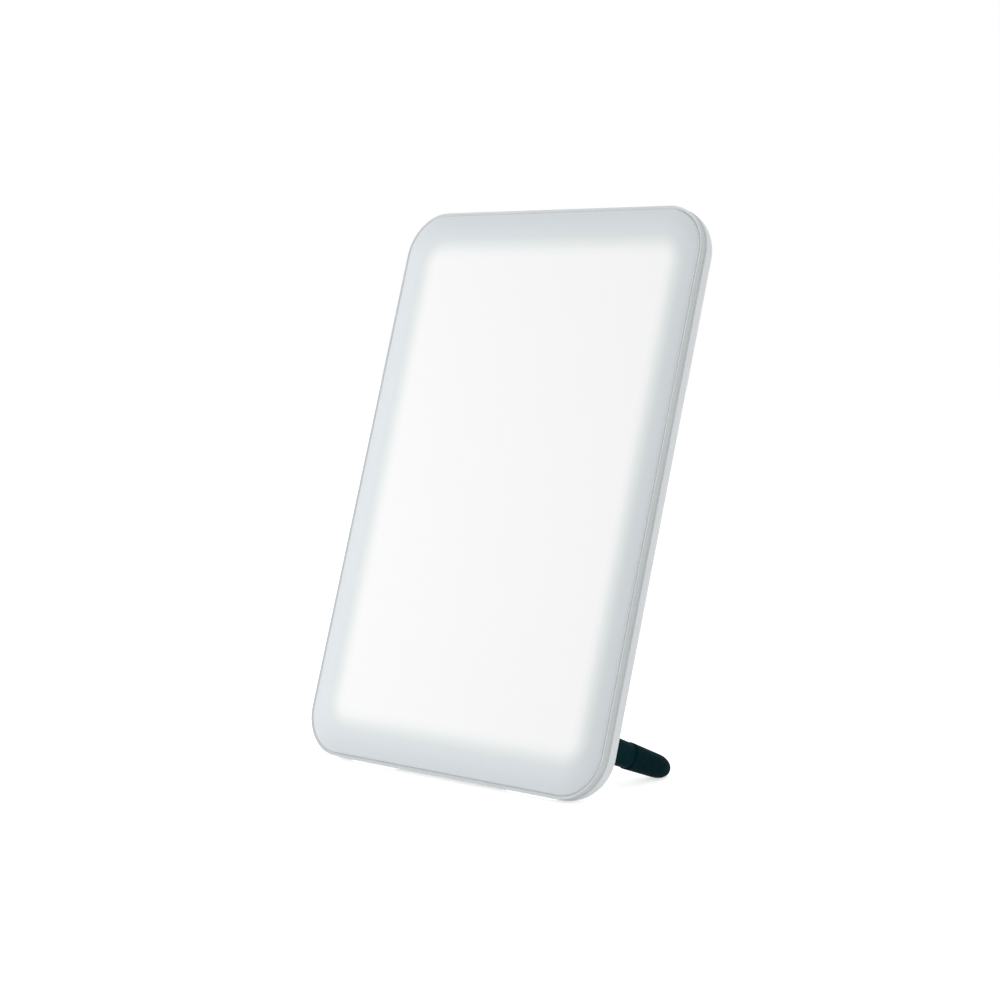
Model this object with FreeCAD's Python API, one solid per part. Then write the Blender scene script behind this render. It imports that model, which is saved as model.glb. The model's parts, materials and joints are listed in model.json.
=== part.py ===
import FreeCAD, Part
import math
import os

# A slab-shaped light therapy lamp that leans back on two swing-out legs.
# Every piece is drawn with the slab upright: X across the slab, Y back from the parting plane
# (negative Y is in front of it), Z up the slab from its lower edge. The parting plane is where the
# trim ring's front edge lies. stand() then leans each piece back, so that the lamp rests on its
# foot pads and leg tips at Z = 0.

# ---------------------------------------------------------------- driving sizes, millimetres
panel_width = 156.0
panel_height = 236.0
corner_radius = 19.0
rear_depth = 18.0  # from the parting plane to the flat of the back
crown_depth = 2.2  # how far the opal front stands before the parting plane
crown_rim = 0.2  # upright part of that, at the very edge
crown_roll = 12.0  # width of the gently rounded border of the front
back_roll_width = 18.0  # the sides turn into the back along a quarter of an ellipse
back_roll_depth = 14.0
lean_angle = 17.4
shell_wall = 2.0
fit_gap = 0.15  # between pieces that locate each other
free_gap = 0.3  # between pieces that must not touch
sheet_gap = 0.1  # between stacked sheets

diffuser_wall = 2.4
tongue_depth = 3.2  # the diffuser's lip that reaches into the housing
tongue_wall = 1.4
trim_height = 3.8
trim_recess = 0.1  # the ring lies this far inside the outline
trim_lip = 1.4  # width of the ring's front edge, seen round the opal cover
trim_step = 1.2  # how deep the cover's edge sits inside the ring
seal_width = 0.8
film_thickness = 0.4

lit_side_border = 12.0  # from the slab's long edges to the lit field
lit_end_border = 14.0
tray_wall = 1.0
tray_gap = 0.9  # inside the diffuser's lip
tray_slope = 5.0  # how far the reflector walls lean in from front to board
tray_corner = 12.0
board_plane = 4.6  # front of the LED board behind the parting plane
board_thickness = 1.6
board_margin = 1.0
board_corner = 3.0
chassis_gap = 1.0  # round the LED board
spreader_lap = 3.2  # of the heat spreader over the chassis
chip_width = 3.5
chip_height = 2.8
chip_thickness = 0.8
chip_columns = 6
chip_rows = 10
spreader_thickness = 0.8

leg_width = 8.0
leg_recess = 0.5  # of the folded leg below the back
leg_root_height = 11.8
leg_tip_height = 8.8
leg_droop = 3.55  # below square to the back
leg_side_inset = 17.0  # hinge pin from the slab's long edge
leg_edge_radius = 3.6
hinge_height = 23.8  # middle of the knuckle up the slab
pin_radius = 1.5
pin_running_gap = 0.05
bush_wall = 0.8
pin_grip = 3.6  # length of pin held in each boss
boot_length = 26.3
boot_wall = 1.3
boot_step = 0.25  # how far the rubber boot stands proud of the leg
washer_thickness = 0.7
washer_gap = 0.1
knuckle_margin = 0.2  # knuckle barrel over half the leg's width
hinge_boss_radius = 3.6
pocket_gap = 0.6  # round the folded leg
finger_room = 5.0  # beyond the folded leg's tip, to hook it out with a fingertip
pocket_corner = 1.2
pocket_wall = 1.4  # of the leg and inlet pockets

small_screw_radius = 0.8
small_head_radius = 1.9
small_head_height = 1.1
spreader_screw_inset = 1.4
spreader_screw_share = 0.40  # of the board's height, from one screw to the next

driver_width = 62.0
driver_length = 112.0
driver_base = 56.0  # lower edge of the driver board up the slab
driver_thickness = 1.0
driver_screw_inset = 5.0
driver_screw_radius = 1.25
driver_screw_length = 5.0
driver_gap = 1.4  # from the heat spreader to the driver board
boss_radius = 3.0
coil_x = 18.0
coil_up = 36.0  # above the driver board's lower edge, as for the parts below
coil_radius = 6.0
coil_tall = 5.2
coil_flange = 0.9
coil_post_radius = 3.0
winding_gap = 0.6  # inside the bobbin's rim
capacitor_x = -19.0
capacitor_up = 20.0
capacitor_pitch = 13.0
capacitor_count = 3
capacitor_radius = 4.0
capacitor_tall = 5.6
capacitor_edge = 0.5
chip_places = (
    # x, height above the board's lower edge, width, length, thickness
    (0.0, 36.0, 5.0, 6.2, 1.6),
    (-4.0, 58.0, 6.0, 5.0, 1.6),
    (14.0, 62.0, 4.0, 5.0, 1.6),
    (16.0, 78.0, 6.6, 4.4, 2.2),
)
socket_width = 9.0
socket_length = 6.0
socket_tall = 4.6
lead_radius = 0.65
lead_offset = 2.0  # of each wire from the centre line
lead_bend = 4.0
lead_run = 9.0  # from the driver board's edge to where the wires cross over
lead_slot_width = 10.0
lead_slot_height = 5.0

jack_width = 9.0
jack_height = 6.4
jack_length = 12.0
jack_bore_radius = 2.8
jack_pin_radius = 1.0
jack_pin_tip = 0.6
jack_nose_radius = 3.5
jack_nose_flat = 0.4  # the nose is slimmer than the body by this
jack_nose_length = 2.4
jack_bore_length = 11.0
inlet_width = 14.0
inlet_length = 22.0
inlet_depth = 9.2
inlet_corner = 3.0

button_radius = 7.0
button_rise = 1.0  # cap above the back
button_travel = 0.8
button_edge = 0.6
button_drop = 18.0  # from the driver board's upper edge to the button's centre
button_flange = 1.2
button_flange_thickness = 0.8
bezel_width = 1.8
bezel_rise = 0.4
bezel_flange = 1.0
button_gap = 0.2
switch_size = 6.2
plunger_radius = 1.6
switch_floor = 0.8

screw_radius = 1.5
screw_head_radius = 2.8
screw_head_height = 1.8
screw_seat_depth = 6.0  # from the flat of the back to the seat of the screw heads
thread_gap = 0.05
drive_arm_share = 0.55  # cross recess: shares of the head's radius and height
drive_slit_share = 0.11
drive_depth_share = 0.55
side_boss_radius = 3.4
side_boss_inset = 9.4  # screw centres from the slab's edges
side_screw_shares = (0.30, 0.72)  # of the panel height
end_boss_inset = 9.4
end_screw_inset = 34.0  # of the end screws, from the long edges
chassis_boss_length = 3.8

vent_length = 26.0
vent_width = 1.8
vent_corner = 0.8
vent_pitch = 5.0
vent_count = 7
vent_drop = 22.0  # from the slab's upper edge to the top vent
vent_offset = 18.0

foot_length = 26.0
foot_width = 5.4
foot_height = 1.4
foot_rise = 0.4  # rubber below the shell
foot_side_inset = 36.0  # of each pad's middle, from the long edge
foot_corner = 2.0
plate_width = 46.0
plate_height = 24.0
plate_thickness = 0.4
plate_corner = 2.0
plate_middle = 110.0

# ---------------------------------------------------------------- worked-out places
lean = math.radians(lean_angle)
droop = math.radians(leg_droop)
mid_height = panel_height / 2
leg_offset = panel_width / 2 - leg_side_inset
foot_offset = panel_width / 2 - foot_side_inset
end_screw_offset = panel_width / 2 - end_screw_inset
housing_front = trim_height
back_inner = rear_depth - shell_wall
inner_inset = shell_wall + fit_gap
tongue_inset = inner_inset + tongue_wall
cover_inset = trim_recess + trim_lip + sheet_gap
cover_seat = trim_step - sheet_gap

film_front = diffuser_wall - crown_depth + sheet_gap
film_back = film_front + film_thickness
tray_front = film_back + sheet_gap
tray_back = board_plane - sheet_gap
tray_inset = tongue_inset + tray_gap
lit_width = panel_width - 2 * lit_side_border
lit_height = panel_height - 2 * lit_end_border
board_back = board_plane + board_thickness
board_width = lit_width - 2 * tray_slope + 2 * (tray_wall + board_margin)
board_height = lit_height - 2 * tray_slope + 2 * (tray_wall + board_margin)
chassis_front = tongue_depth + fit_gap
spreader_front = board_back + sheet_gap
spreader_back = spreader_front + spreader_thickness
spreader_width = board_width + 2 * (chassis_gap + spreader_lap)
spreader_height = board_height + 2 * (chassis_gap + spreader_lap)
chassis_back = spreader_front
chassis_boss_end = chassis_back + chassis_boss_length
hollow_roll_width = back_roll_width - shell_wall
hollow_roll_depth = back_inner - chassis_back - sheet_gap
screw_seat = rear_depth - screw_seat_depth

driver_front = spreader_back + driver_gap
driver_back = driver_front + driver_thickness
driver_top = driver_base + driver_length
socket_height = driver_top - socket_length / 2
lead_height = driver_top + lead_run
coil_height = driver_base + coil_up
capacitor_base = driver_base + capacitor_up
button_height = driver_top - button_drop
vent_base = panel_height - vent_drop - (vent_count - 1) * vent_pitch
lead_depth = driver_back + socket_tall / 2
jack_base = driver_base
jack_axis = driver_back + jack_height / 2
inlet_top = jack_base - pocket_wall
inlet_floor = rear_depth - inlet_depth

button_bore = button_radius + button_gap
bezel_radius = button_bore + bezel_width
cap_flange_top = back_inner - bezel_flange - button_gap
switch_height = cap_flange_top - button_flange_thickness - button_travel - free_gap - driver_back

# The shell touches the ground where its rolled lower edge is square to the lean.
roll_start = rear_depth - back_roll_depth
low_reach = math.hypot(back_roll_width * math.cos(lean), back_roll_depth * math.sin(lean))
shell_low = back_roll_width * math.cos(lean) - roll_start * math.sin(lean) - low_reach
low_turn = math.atan2(back_roll_depth * math.sin(lean), back_roll_width * math.cos(lean))
low_height = back_roll_width * (1 - math.cos(low_turn))
low_depth = roll_start + back_roll_depth * math.sin(low_turn)
low_y = low_height * math.sin(lean) + low_depth * math.cos(lean)
lift = foot_rise - shell_low
crown_slope = 2 * math.atan((crown_depth - crown_rim) / crown_roll)
crown_radius = crown_roll / math.sin(crown_slope)
edge_reach = cover_inset * math.sin(lean) - crown_rim * math.cos(lean)
crown_edge = (cover_inset + crown_roll) * math.sin(lean)
crown_middle = crown_edge + (crown_radius - crown_depth) * math.cos(lean)
front_reach = crown_middle - crown_radius if lean < crown_slope else edge_reach
high_reach = math.hypot(back_roll_width * math.sin(lean), back_roll_depth * math.cos(lean))
back_reach = (panel_height - back_roll_width) * math.sin(lean) + roll_start * math.cos(lean) + high_reach
centre_shift = -(front_reach + back_reach) / 2

# The leg reaches from its hinge to where its round tip meets the ground.
hinge_depth = rear_depth - leg_recess - leg_width / 2
hinge_rise = hinge_height * math.cos(lean) - hinge_depth * math.sin(lean) + lift
tip_radius = leg_tip_height / 2 + boot_step
leg_reach = (hinge_rise - tip_radius) / math.sin(lean + droop)
boot_start = leg_reach + tip_radius - boot_length
finger_start = leg_width / 4  # the bar begins inside the knuckle
knuckle_radius = leg_width / 2 + knuckle_margin
bush_radius = pin_radius + pin_running_gap + bush_wall

pocket_floor = hinge_depth - leg_width / 2 - pocket_gap
pocket_outer = leg_offset + knuckle_radius + pocket_gap
pocket_inner = leg_offset - leg_reach * math.cos(droop) - tip_radius - finger_room
pocket_top = hinge_height + leg_root_height / 2 + washer_thickness + 2 * washer_gap
pocket_low = hinge_height - leg_reach * math.sin(droop) - tip_radius - pocket_gap
lower_boss_top = hinge_height - leg_root_height / 2 - washer_thickness - 2 * washer_gap
pin_low = lower_boss_top - pin_grip
pin_high = pocket_top + pin_grip

across = FreeCAD.Vector(1, 0, 0)
backward = FreeCAD.Vector(0, 1, 0)
upward = FreeCAD.Vector(0, 0, 1)


# ---------------------------------------------------------------- drawing helpers
def point(x, depth, height):
    return FreeCAD.Vector(x, depth, height)


def block(x_range, depth_range, height_range):
    """A box between pairs of X, depth and height."""
    low = point(x_range[0], depth_range[0], height_range[0])
    sizes = [pair[1] - pair[0] for pair in (x_range, depth_range, height_range)]
    return Part.makeBox(sizes[0], sizes[1], sizes[2], low)


def rod(radius, start, length, direction=backward):
    return Part.makeCylinder(radius, length, start, direction)


def ring(outer, inner, start, length, direction=backward):
    return rod(outer, start, length, direction).cut(rod(inner, start, length, direction))


def rounded_outline(width, height, radius, x, depth, middle):
    """A rounded rectangle in a plane of one depth, as a closed wire."""
    left, right = x - width / 2, x + width / 2
    low, high = middle - height / 2, middle + height / 2
    bulge = radius * (1 - math.sqrt(0.5))
    corners = [(right, low, -1, 1), (right, high, -1, -1), (left, high, 1, -1), (left, low, 1, 1)]
    arcs = []
    for corner_x, corner_z, to_x, to_z in corners:
        beside = point(corner_x + to_x * radius, depth, corner_z)
        above = point(corner_x, depth, corner_z + to_z * radius)
        middle_point = point(corner_x + to_x * bulge, depth, corner_z + to_z * bulge)
        ends = (beside, above) if to_x * to_z < 0 else (above, beside)
        arcs.append((ends[0], middle_point, ends[1]))
    edges = []
    for index, arc in enumerate(arcs):
        following = arcs[(index + 1) % len(arcs)]
        edges.append(Part.Arc(*arc).toShape())
        edges.append(Part.LineSegment(arc[2], following[0]).toShape())
    return Part.Wire(edges)


def rounded_block(width, height, radius, depth_range, x=0.0, middle=mid_height):
    """A slab with rounded corners, flat at both depths."""
    face = Part.Face(rounded_outline(width, height, radius, x, depth_range[0], middle))
    return face.extrude(backward * (depth_range[1] - depth_range[0]))


def slab(inset, depth_range):
    """A slice of the lamp's own outline, drawn in by inset."""
    width = panel_width - 2 * inset
    height = panel_height - 2 * inset
    return rounded_block(width, height, corner_radius - inset, depth_range)


def crowned_slab():
    """The opal cover's outside: its border rises to the flat front along one shallow circular arc."""
    steps = 5
    sections = []
    for step in range(steps + 1):
        angle = crown_slope * (1 - step / steps)
        drawn_in = cover_inset + crown_roll - crown_radius * math.sin(angle)
        level = -crown_depth + crown_radius * (1 - math.cos(angle))
        width = panel_width - 2 * drawn_in
        height = panel_height - 2 * drawn_in
        radius = corner_radius - drawn_in
        sections.append(rounded_outline(width, height, radius, 0, level, mid_height))
    return joined([slab(cover_inset, (-crown_rim, cover_seat)), Part.makeLoft(sections, True)])


def roll_profile(half, front, rear, roll, draw):
    """Half a section of a slab: straight at its side, then a quarter of an ellipse to the flat back."""
    roll_width, roll_depth = roll
    side_end = draw(half, rear - roll_depth)
    back_start = draw(half - roll_width, rear)
    turn = Part.BezierCurve()
    turn.setPoles([side_end, draw(half, rear), back_start])
    turn.setWeight(2, math.sqrt(0.5))
    corners = [back_start, draw(0, rear), draw(0, front), draw(half, front), side_end]
    edges = [Part.LineSegment(a, b).toShape() for a, b in zip(corners[:-1], corners[1:])]
    return Part.Face(Part.Wire([turn.toShape()] + edges))


def rolled_slab(inset, depth_range, roll):
    """A slice of the outline whose rear edges are rounded; roll is the rounding's width and depth."""
    front, rear = depth_range
    radius = corner_radius - inset
    core_x = panel_width / 2 - corner_radius
    core_z = panel_height / 2 - corner_radius
    side = roll_profile(core_x + radius, front, rear, roll, lambda u, d: point(u, d, mid_height - core_z))
    end = roll_profile(core_z + radius, front, rear, roll, lambda u, d: point(-core_x, d, mid_height + u))
    corner = roll_profile(radius, front, rear, roll, lambda u, d: point(core_x + u, d, mid_height + core_z))
    right = side.extrude(upward * (2 * core_z))
    top = end.extrude(across * (2 * core_x))
    top_right = corner.revolve(point(core_x, 0, mid_height + core_z), backward, -90)
    upper = [top, top_right, mirrored(top_right)]
    lower = [piece.mirror(point(0, 0, mid_height), upward) for piece in upper]
    return joined([right, mirrored(right)] + upper + lower)


def joined(shapes):
    result = shapes[0]
    for shape in shapes[1:]:
        result = result.fuse(shape)
    return result.removeSplitter()


def stand(shape):
    """Leans a piece back and sets it on the ground, with the origin under its middle."""
    moved = shape.copy()
    moved.rotate(point(0, 0, 0), across, -lean_angle)
    moved.translate(point(0, centre_shift, lift))
    return moved


def mirrored(shape):
    return shape.mirror(point(0, 0, 0), across)


def both_sides(shape):
    return [shape, mirrored(shape)]


# ---------------------------------------------------------------- optical front
def front_diffuser():
    """Opal cover over the whole face, with a lip that reaches into the housing."""
    outer = crowned_slab()
    inner = slab(tongue_inset, (diffuser_wall - crown_depth, cover_seat))
    lip_range = (diffuser_wall - crown_depth, tongue_depth)
    lip = slab(inner_inset, lip_range).cut(slab(tongue_inset, lip_range))
    return joined([outer.cut(inner), lip])


def trim_ring():
    """Ring that shows as a thin line round the cover, with a step that seats the cover's edge."""
    trim_range = (0, trim_height)
    bar = slab(trim_recess, trim_range).cut(slab(shell_wall, trim_range))
    return bar.cut(slab(trim_recess + trim_lip, (0, trim_step)))


def diffuser_film():
    """Frosted sheet between the reflector and the opal cover."""
    return slab(tray_inset, (film_front, film_back))


def reflector_tray():
    """White frame whose sloping walls turn the light of the board to the front."""
    flange_range = (tray_front, tray_front + tray_wall)
    flange = slab(tray_inset, flange_range)
    outer_range = (tray_front, chassis_front)
    outer = slab(tray_inset, outer_range).cut(slab(tray_inset + tray_wall, outer_range))
    funnel = tray_funnel(tray_wall)
    opening = tray_funnel(0)
    return joined([flange, outer, funnel]).cut(opening)


def tray_funnel(wall):
    """The reflector's hollow, widened by wall, as a solid that narrows towards the board."""
    front_width = lit_width + 2 * wall
    front_height = lit_height + 2 * wall
    shrink = 2 * tray_slope
    radius = tray_corner + wall
    wide = rounded_outline(front_width, front_height, radius, 0, tray_front, mid_height)
    narrow_width = front_width - shrink
    narrow_height = front_height - shrink
    narrow_radius = radius * narrow_width / front_width
    narrow = rounded_outline(narrow_width, narrow_height, narrow_radius, 0, tray_back, mid_height)
    return Part.makeLoft([wide, narrow], True)


def led_board():
    """Board behind the reflector that carries the rows of lights."""
    board_range = (board_plane, board_back)
    return rounded_block(board_width, board_height, board_corner, board_range)


def led_chips():
    """The rows of lights, evenly spread over the board."""
    chip_range = (board_plane - chip_thickness, board_plane)
    chips = []
    for column in range(chip_columns):
        for row in range(chip_rows):
            x = (column - (chip_columns - 1) / 2) * board_width / chip_columns
            height = mid_height + (row - (chip_rows - 1) / 2) * board_height / chip_rows
            x_range = (x - chip_width / 2, x + chip_width / 2)
            height_range = (height - chip_height / 2, height + chip_height / 2)
            chips.append(block(x_range, chip_range, height_range))
    return Part.makeCompound(chips)


def heat_spreader():
    """Aluminium sheet that carries the LED board and closes the chassis opening."""
    sheet_range = (spreader_front, spreader_back)
    sheet = rounded_block(spreader_width, spreader_height, board_corner, sheet_range)
    for x, height in spreader_screw_places():
        start = point(x, spreader_front, height)
        sheet = sheet.cut(rod(small_screw_radius + free_gap, start, spreader_thickness))
    for x, height in screw_places():
        start = point(x, spreader_front, height)
        sheet = sheet.cut(rod(side_boss_radius + free_gap, start, spreader_thickness))
    slot_corner = lead_slot_height / 3
    slot = rounded_block(lead_slot_width, lead_slot_height, slot_corner, sheet_range, 0, lead_height)
    return sheet.cut(slot)


def chassis_frame():
    """Inner frame that seats the cover's lip, the reflector and the heat spreader."""
    plate_range = (chassis_front, chassis_back)
    plate = slab(inner_inset, plate_range)
    bosses = []
    for x, height in screw_places():
        bosses.append(rod(side_boss_radius, point(x, chassis_back, height), chassis_boss_length))
    frame = joined([plate] + bosses)
    opening_width = board_width + 2 * chassis_gap
    opening_height = board_height + 2 * chassis_gap
    frame = frame.cut(rounded_block(opening_width, opening_height, board_corner, plate_range))
    for x, height in screw_places():
        start = point(x, chassis_back + thread_gap, height)
        frame = frame.cut(rod(screw_radius + thread_gap, start, chassis_boss_length))
    for x, height in spreader_screw_places():
        start = point(x, chassis_front + shell_wall / 2, height)
        frame = frame.cut(rod(small_screw_radius + thread_gap, start, chassis_back - chassis_front))
    return frame


def screw_places():
    """Centres of the housing screws: two in each long side, two in each end."""
    side_x = panel_width / 2 - side_boss_inset
    places = []
    for share in side_screw_shares:
        places += [(side_x, share * panel_height), (-side_x, share * panel_height)]
    for height in (end_boss_inset, panel_height - end_boss_inset):
        places += [(end_screw_offset, height), (-end_screw_offset, height)]
    return places


def spreader_screw_places():
    """Three screws down each long edge of the heat spreader."""
    x = board_width / 2 + chassis_gap + spreader_screw_inset
    spacing = board_height * spreader_screw_share
    return [(side * x, mid_height + step * spacing) for side in (-1, 1) for step in (-1, 0, 1)]


# ---------------------------------------------------------------- screws
def pan_screw(radius, head_radius, head_height, length, seat, direction):
    """A screw with a cross recess, its head standing on seat and its shank along direction."""
    shank = rod(radius, seat, length, direction)
    head = rod(head_radius, seat - direction * head_height, head_height, direction)
    arm = head_radius * drive_arm_share
    slit = head_radius * drive_slit_share
    drive_depth = head_height * drive_depth_share
    top = seat - direction * head_height
    depth_range = sorted((top.y, top.y + direction.y * drive_depth))
    flat = block((seat.x - arm, seat.x + arm), depth_range, (seat.z - slit, seat.z + slit))
    tall = block((seat.x - slit, seat.x + slit), depth_range, (seat.z - arm, seat.z + arm))
    return joined([shank, head]).cut(flat).cut(tall)


def screw_group(places, seat_depth, sizes, direction):
    """Equal screws at several places; sizes are shank radius, head radius, head height, length."""
    screws = []
    for x, height in places:
        screws.append(pan_screw(*sizes, point(x, seat_depth, height), direction))
    return Part.makeCompound(screws)


def housing_screws():
    length = screw_seat - chassis_back - thread_gap * 2
    sizes = (screw_radius, screw_head_radius, screw_head_height, length)
    return screw_group(screw_places(), screw_seat, sizes, -backward)


def spreader_screws():
    length = spreader_thickness + (chassis_back - chassis_front) / 2
    sizes = (small_screw_radius, small_head_radius, small_head_height, length)
    return screw_group(spreader_screw_places(), spreader_back, sizes, -backward)


def driver_screws():
    sizes = (driver_screw_radius, small_head_radius, small_head_height, driver_screw_length)
    return screw_group(driver_screw_places(), driver_front, sizes, backward)


def screw_plugs():
    """Soft caps that fill the counterbores flush with the back."""
    plug_start = screw_seat + screw_head_height + free_gap
    outside = housing_outside()
    plugs = []
    for x, height in screw_places():
        plug = rod(screw_head_radius + free_gap, point(x, plug_start, height), rear_depth)
        plugs.append(plug.common(outside))
    return Part.makeCompound(plugs)


# ---------------------------------------------------------------- rear housing
def pocket_block(grow, depth_range):
    """The hollow in the back that takes the right leg, widened by grow."""
    width = pocket_outer - pocket_inner + 2 * grow
    height = pocket_top - pocket_low + 2 * grow
    x = (pocket_outer + pocket_inner) / 2
    middle = (pocket_top + pocket_low) / 2
    return rounded_block(width, height, pocket_corner + grow, depth_range, x, middle)


def inlet_block(grow, depth_range):
    """The hollow in the back that takes a supply plug, widened by grow."""
    middle = inlet_top - inlet_length / 2
    width = inlet_width + 2 * grow
    height = inlet_length + 2 * grow
    return rounded_block(width, height, inlet_corner + grow, depth_range, 0, middle)


def housing_outside():
    """The back's outer form, from the trim ring to the flat of the back."""
    return rolled_slab(0, (housing_front, rear_depth), (back_roll_width, back_roll_depth))


def housing_shell():
    """The moulded back: a tray with rolled rear edges, its pockets and its bosses."""
    outside = housing_outside()
    hollow_roll = (hollow_roll_width, hollow_roll_depth)
    hollow = rolled_slab(shell_wall, (housing_front, back_inner), hollow_roll)
    shell = outside.cut(hollow)
    pocket_walls = pocket_block(pocket_wall, (pocket_floor - pocket_wall, rear_depth))
    upper_boss_low = point(leg_offset, hinge_depth, pocket_top)
    upper_boss = rod(hinge_boss_radius, upper_boss_low, pin_grip + free_gap, upward)
    # Joined first, since the two pockets run into one another in a narrower slab.
    added = [joined(both_sides(pocket_walls))] + both_sides(upper_boss)
    added.append(inlet_block(pocket_wall, (inlet_floor - pocket_wall, rear_depth)))
    for x, height in screw_places():
        start = point(x, chassis_boss_end + fit_gap, height)
        added.append(rod(side_boss_radius, start, rear_depth))
    for x, height in driver_screw_places():
        added.append(rod(boss_radius, point(x, driver_back, height), back_inner - driver_back))
    added = [piece.common(outside) for piece in added]
    return joined([shell] + added)


def housing_openings():
    """Everything that is cut out of the moulded back."""
    cuts = both_sides(pocket_block(0, (pocket_floor, rear_depth + 1)))
    cuts.append(inlet_block(0, (inlet_floor, rear_depth + 1)))
    nose_start = point(0, jack_axis, inlet_top - 1)
    cuts.append(rod(jack_nose_radius + fit_gap, nose_start, shell_wall + 2, upward))
    for x, height in screw_places():
        cuts.append(rod(screw_radius + free_gap, point(x, chassis_boss_end, height), rear_depth))
        cuts.append(rod(screw_head_radius + free_gap, point(x, screw_seat, height), rear_depth))
    for x, height in driver_screw_places():
        start = point(x, driver_back - thread_gap, height)
        cuts.append(rod(driver_screw_radius + thread_gap, start, driver_screw_length))
    button_centre = point(0, back_inner - 1, button_height)
    cuts.append(rod(bezel_radius + fit_gap, button_centre, shell_wall + 2))
    for x in (-vent_offset, vent_offset):
        for index in range(vent_count):
            height = vent_base + index * vent_pitch
            vent_range = (back_inner - 1, rear_depth + 1)
            cuts.append(rounded_block(vent_length, vent_width, vent_corner, vent_range, x, height))
    plate_range = (rear_depth - plate_thickness, rear_depth + 1)
    plate_cut_width = plate_width + 2 * fit_gap
    plate_cut_height = plate_height + 2 * fit_gap
    cuts.append(rounded_block(plate_cut_width, plate_cut_height, plate_corner, plate_range, 0, plate_middle))
    return cuts


def rear_housing():
    shell = housing_shell()
    for cut in housing_openings():
        shell = shell.cut(cut)
    lower_boss = hinge_boss().cut(pin_bore())
    shell = joined([shell] + both_sides(lower_boss))
    for bore in both_sides(pin_bore()):
        shell = shell.cut(bore)
    for seat in foot_pads_raised(fit_gap):
        shell = shell.cut(seat)
    return shell


def hinge_boss():
    """Round seat for the lower washer, on the pocket's lower wall."""
    start = point(leg_offset, hinge_depth, pocket_low - shell_wall / 2)
    return rod(hinge_boss_radius, start, lower_boss_top - pocket_low + shell_wall / 2, upward)


def pin_bore():
    start = point(leg_offset, hinge_depth, pin_low)
    return rod(pin_radius, start, pin_high - pin_low + free_gap, upward)


def foot_pads_raised(grow):
    """Rubber pads with flat soles on the ground, drawn in the leaned-back frame and turned upright."""
    pads = []
    for x in (-foot_offset, foot_offset):
        size = (foot_length + 2 * grow, foot_width + 2 * grow, foot_height + grow)
        corner = point(x - size[0] / 2, low_y - size[1] / 2, shell_low - foot_rise)
        pad = Part.makeBox(size[0], size[1], size[2], corner)
        rims = [e for e in pad.Edges if e.BoundBox.ZLength > size[2] / 2]
        pad = pad.makeFillet(foot_corner, rims)
        pad.rotate(point(0, 0, 0), across, lean_angle)
        pads.append(pad)
    return pads


def foot_pads():
    return Part.makeCompound(foot_pads_raised(0))


def rating_plate():
    """Blank plate let into the back."""
    plate_range = (rear_depth - plate_thickness, rear_depth)
    return rounded_block(plate_width, plate_height, plate_corner, plate_range, 0, plate_middle)


def seam_seal():
    """Foam cord between the chassis and the housing, inside the seam."""
    seal_range = (chassis_back, chassis_back + seal_width)
    outer = slab(inner_inset, seal_range)
    return outer.cut(slab(inner_inset + seal_width, seal_range))


# ---------------------------------------------------------------- driver board
def driver_screw_places():
    """Four screws near the driver board's corners."""
    x = driver_width / 2 - driver_screw_inset
    low = driver_base + driver_screw_inset
    high = driver_top - driver_screw_inset
    return [(-x, low), (x, low), (-x, high), (x, high)]


def driver_board():
    middle = driver_base + driver_length / 2
    board_range = (driver_front, driver_back)
    board = rounded_block(driver_width, driver_length, board_corner, board_range, 0, middle)
    for x, height in driver_screw_places():
        start = point(x, driver_front, height)
        board = board.cut(rod(driver_screw_radius + free_gap, start, driver_thickness))
    return board


def component_block(x, height, width, length, tall):
    """A packaged component that stands on the back of the driver board."""
    x_range = (x - width / 2, x + width / 2)
    height_range = (height - length / 2, height + length / 2)
    return block(x_range, (driver_back, driver_back + tall), height_range)


def driver_chips():
    chips = [component_block(x, driver_base + up, *size) for x, up, *size in chip_places]
    return Part.makeCompound(chips)


def inductor_core():
    """Ferrite bobbin of the driver's inductor: a spool of two discs and a post."""
    base = point(coil_x, driver_back, coil_height)
    lower = rod(coil_radius, base, coil_flange)
    post = rod(coil_post_radius, base, coil_tall)
    upper = rod(coil_radius, base + backward * (coil_tall - coil_flange), coil_flange)
    return joined([lower, post, upper])


def inductor_winding():
    start = point(coil_x, driver_back + coil_flange, coil_height)
    length = coil_tall - 2 * coil_flange
    return ring(coil_radius - winding_gap, coil_post_radius, start, length)


def capacitors():
    """Round can capacitors in a column."""
    cans = []
    for index in range(capacitor_count):
        base = point(capacitor_x, driver_back, capacitor_base + index * capacitor_pitch)
        can = rod(capacitor_radius, base, capacitor_tall)
        top = [e for e in can.Edges if abs(e.BoundBox.YMin - driver_back - capacitor_tall) < 0.01]
        cans.append(can.makeFillet(capacitor_edge, top[:1]))
    return Part.makeCompound(cans)


def lead_socket():
    """Two-way connector at the driver board's top edge, open upwards for the leads."""
    socket = component_block(0, socket_height, socket_width, socket_length, socket_tall)
    for x in (-lead_offset, lead_offset):
        start = point(x, lead_depth, socket_height)
        socket = socket.cut(rod(lead_radius + thread_gap, start, socket_length, upward))
    return socket


def lead(x):
    """Insulated wire from the driver's connector, over the board's edge, to the LED board."""
    start = point(x, lead_depth, socket_height + thread_gap)
    corner_low = point(x, lead_depth, lead_height - lead_bend)
    corner_high = point(x, lead_depth - lead_bend, lead_height)
    sag = lead_bend * (1 - math.sqrt(0.5))
    corner = point(x, lead_depth - sag, lead_height - sag)
    finish = point(x, board_back + thread_gap, lead_height)
    path = Part.Wire([
        Part.LineSegment(start, corner_low).toShape(),
        Part.Arc(corner_low, corner, corner_high).toShape(),
        Part.LineSegment(corner_high, finish).toShape(),
    ])
    section = Part.Wire([Part.Circle(start, upward, lead_radius).toShape()])
    return path.makePipeShell([section], True, False)


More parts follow.
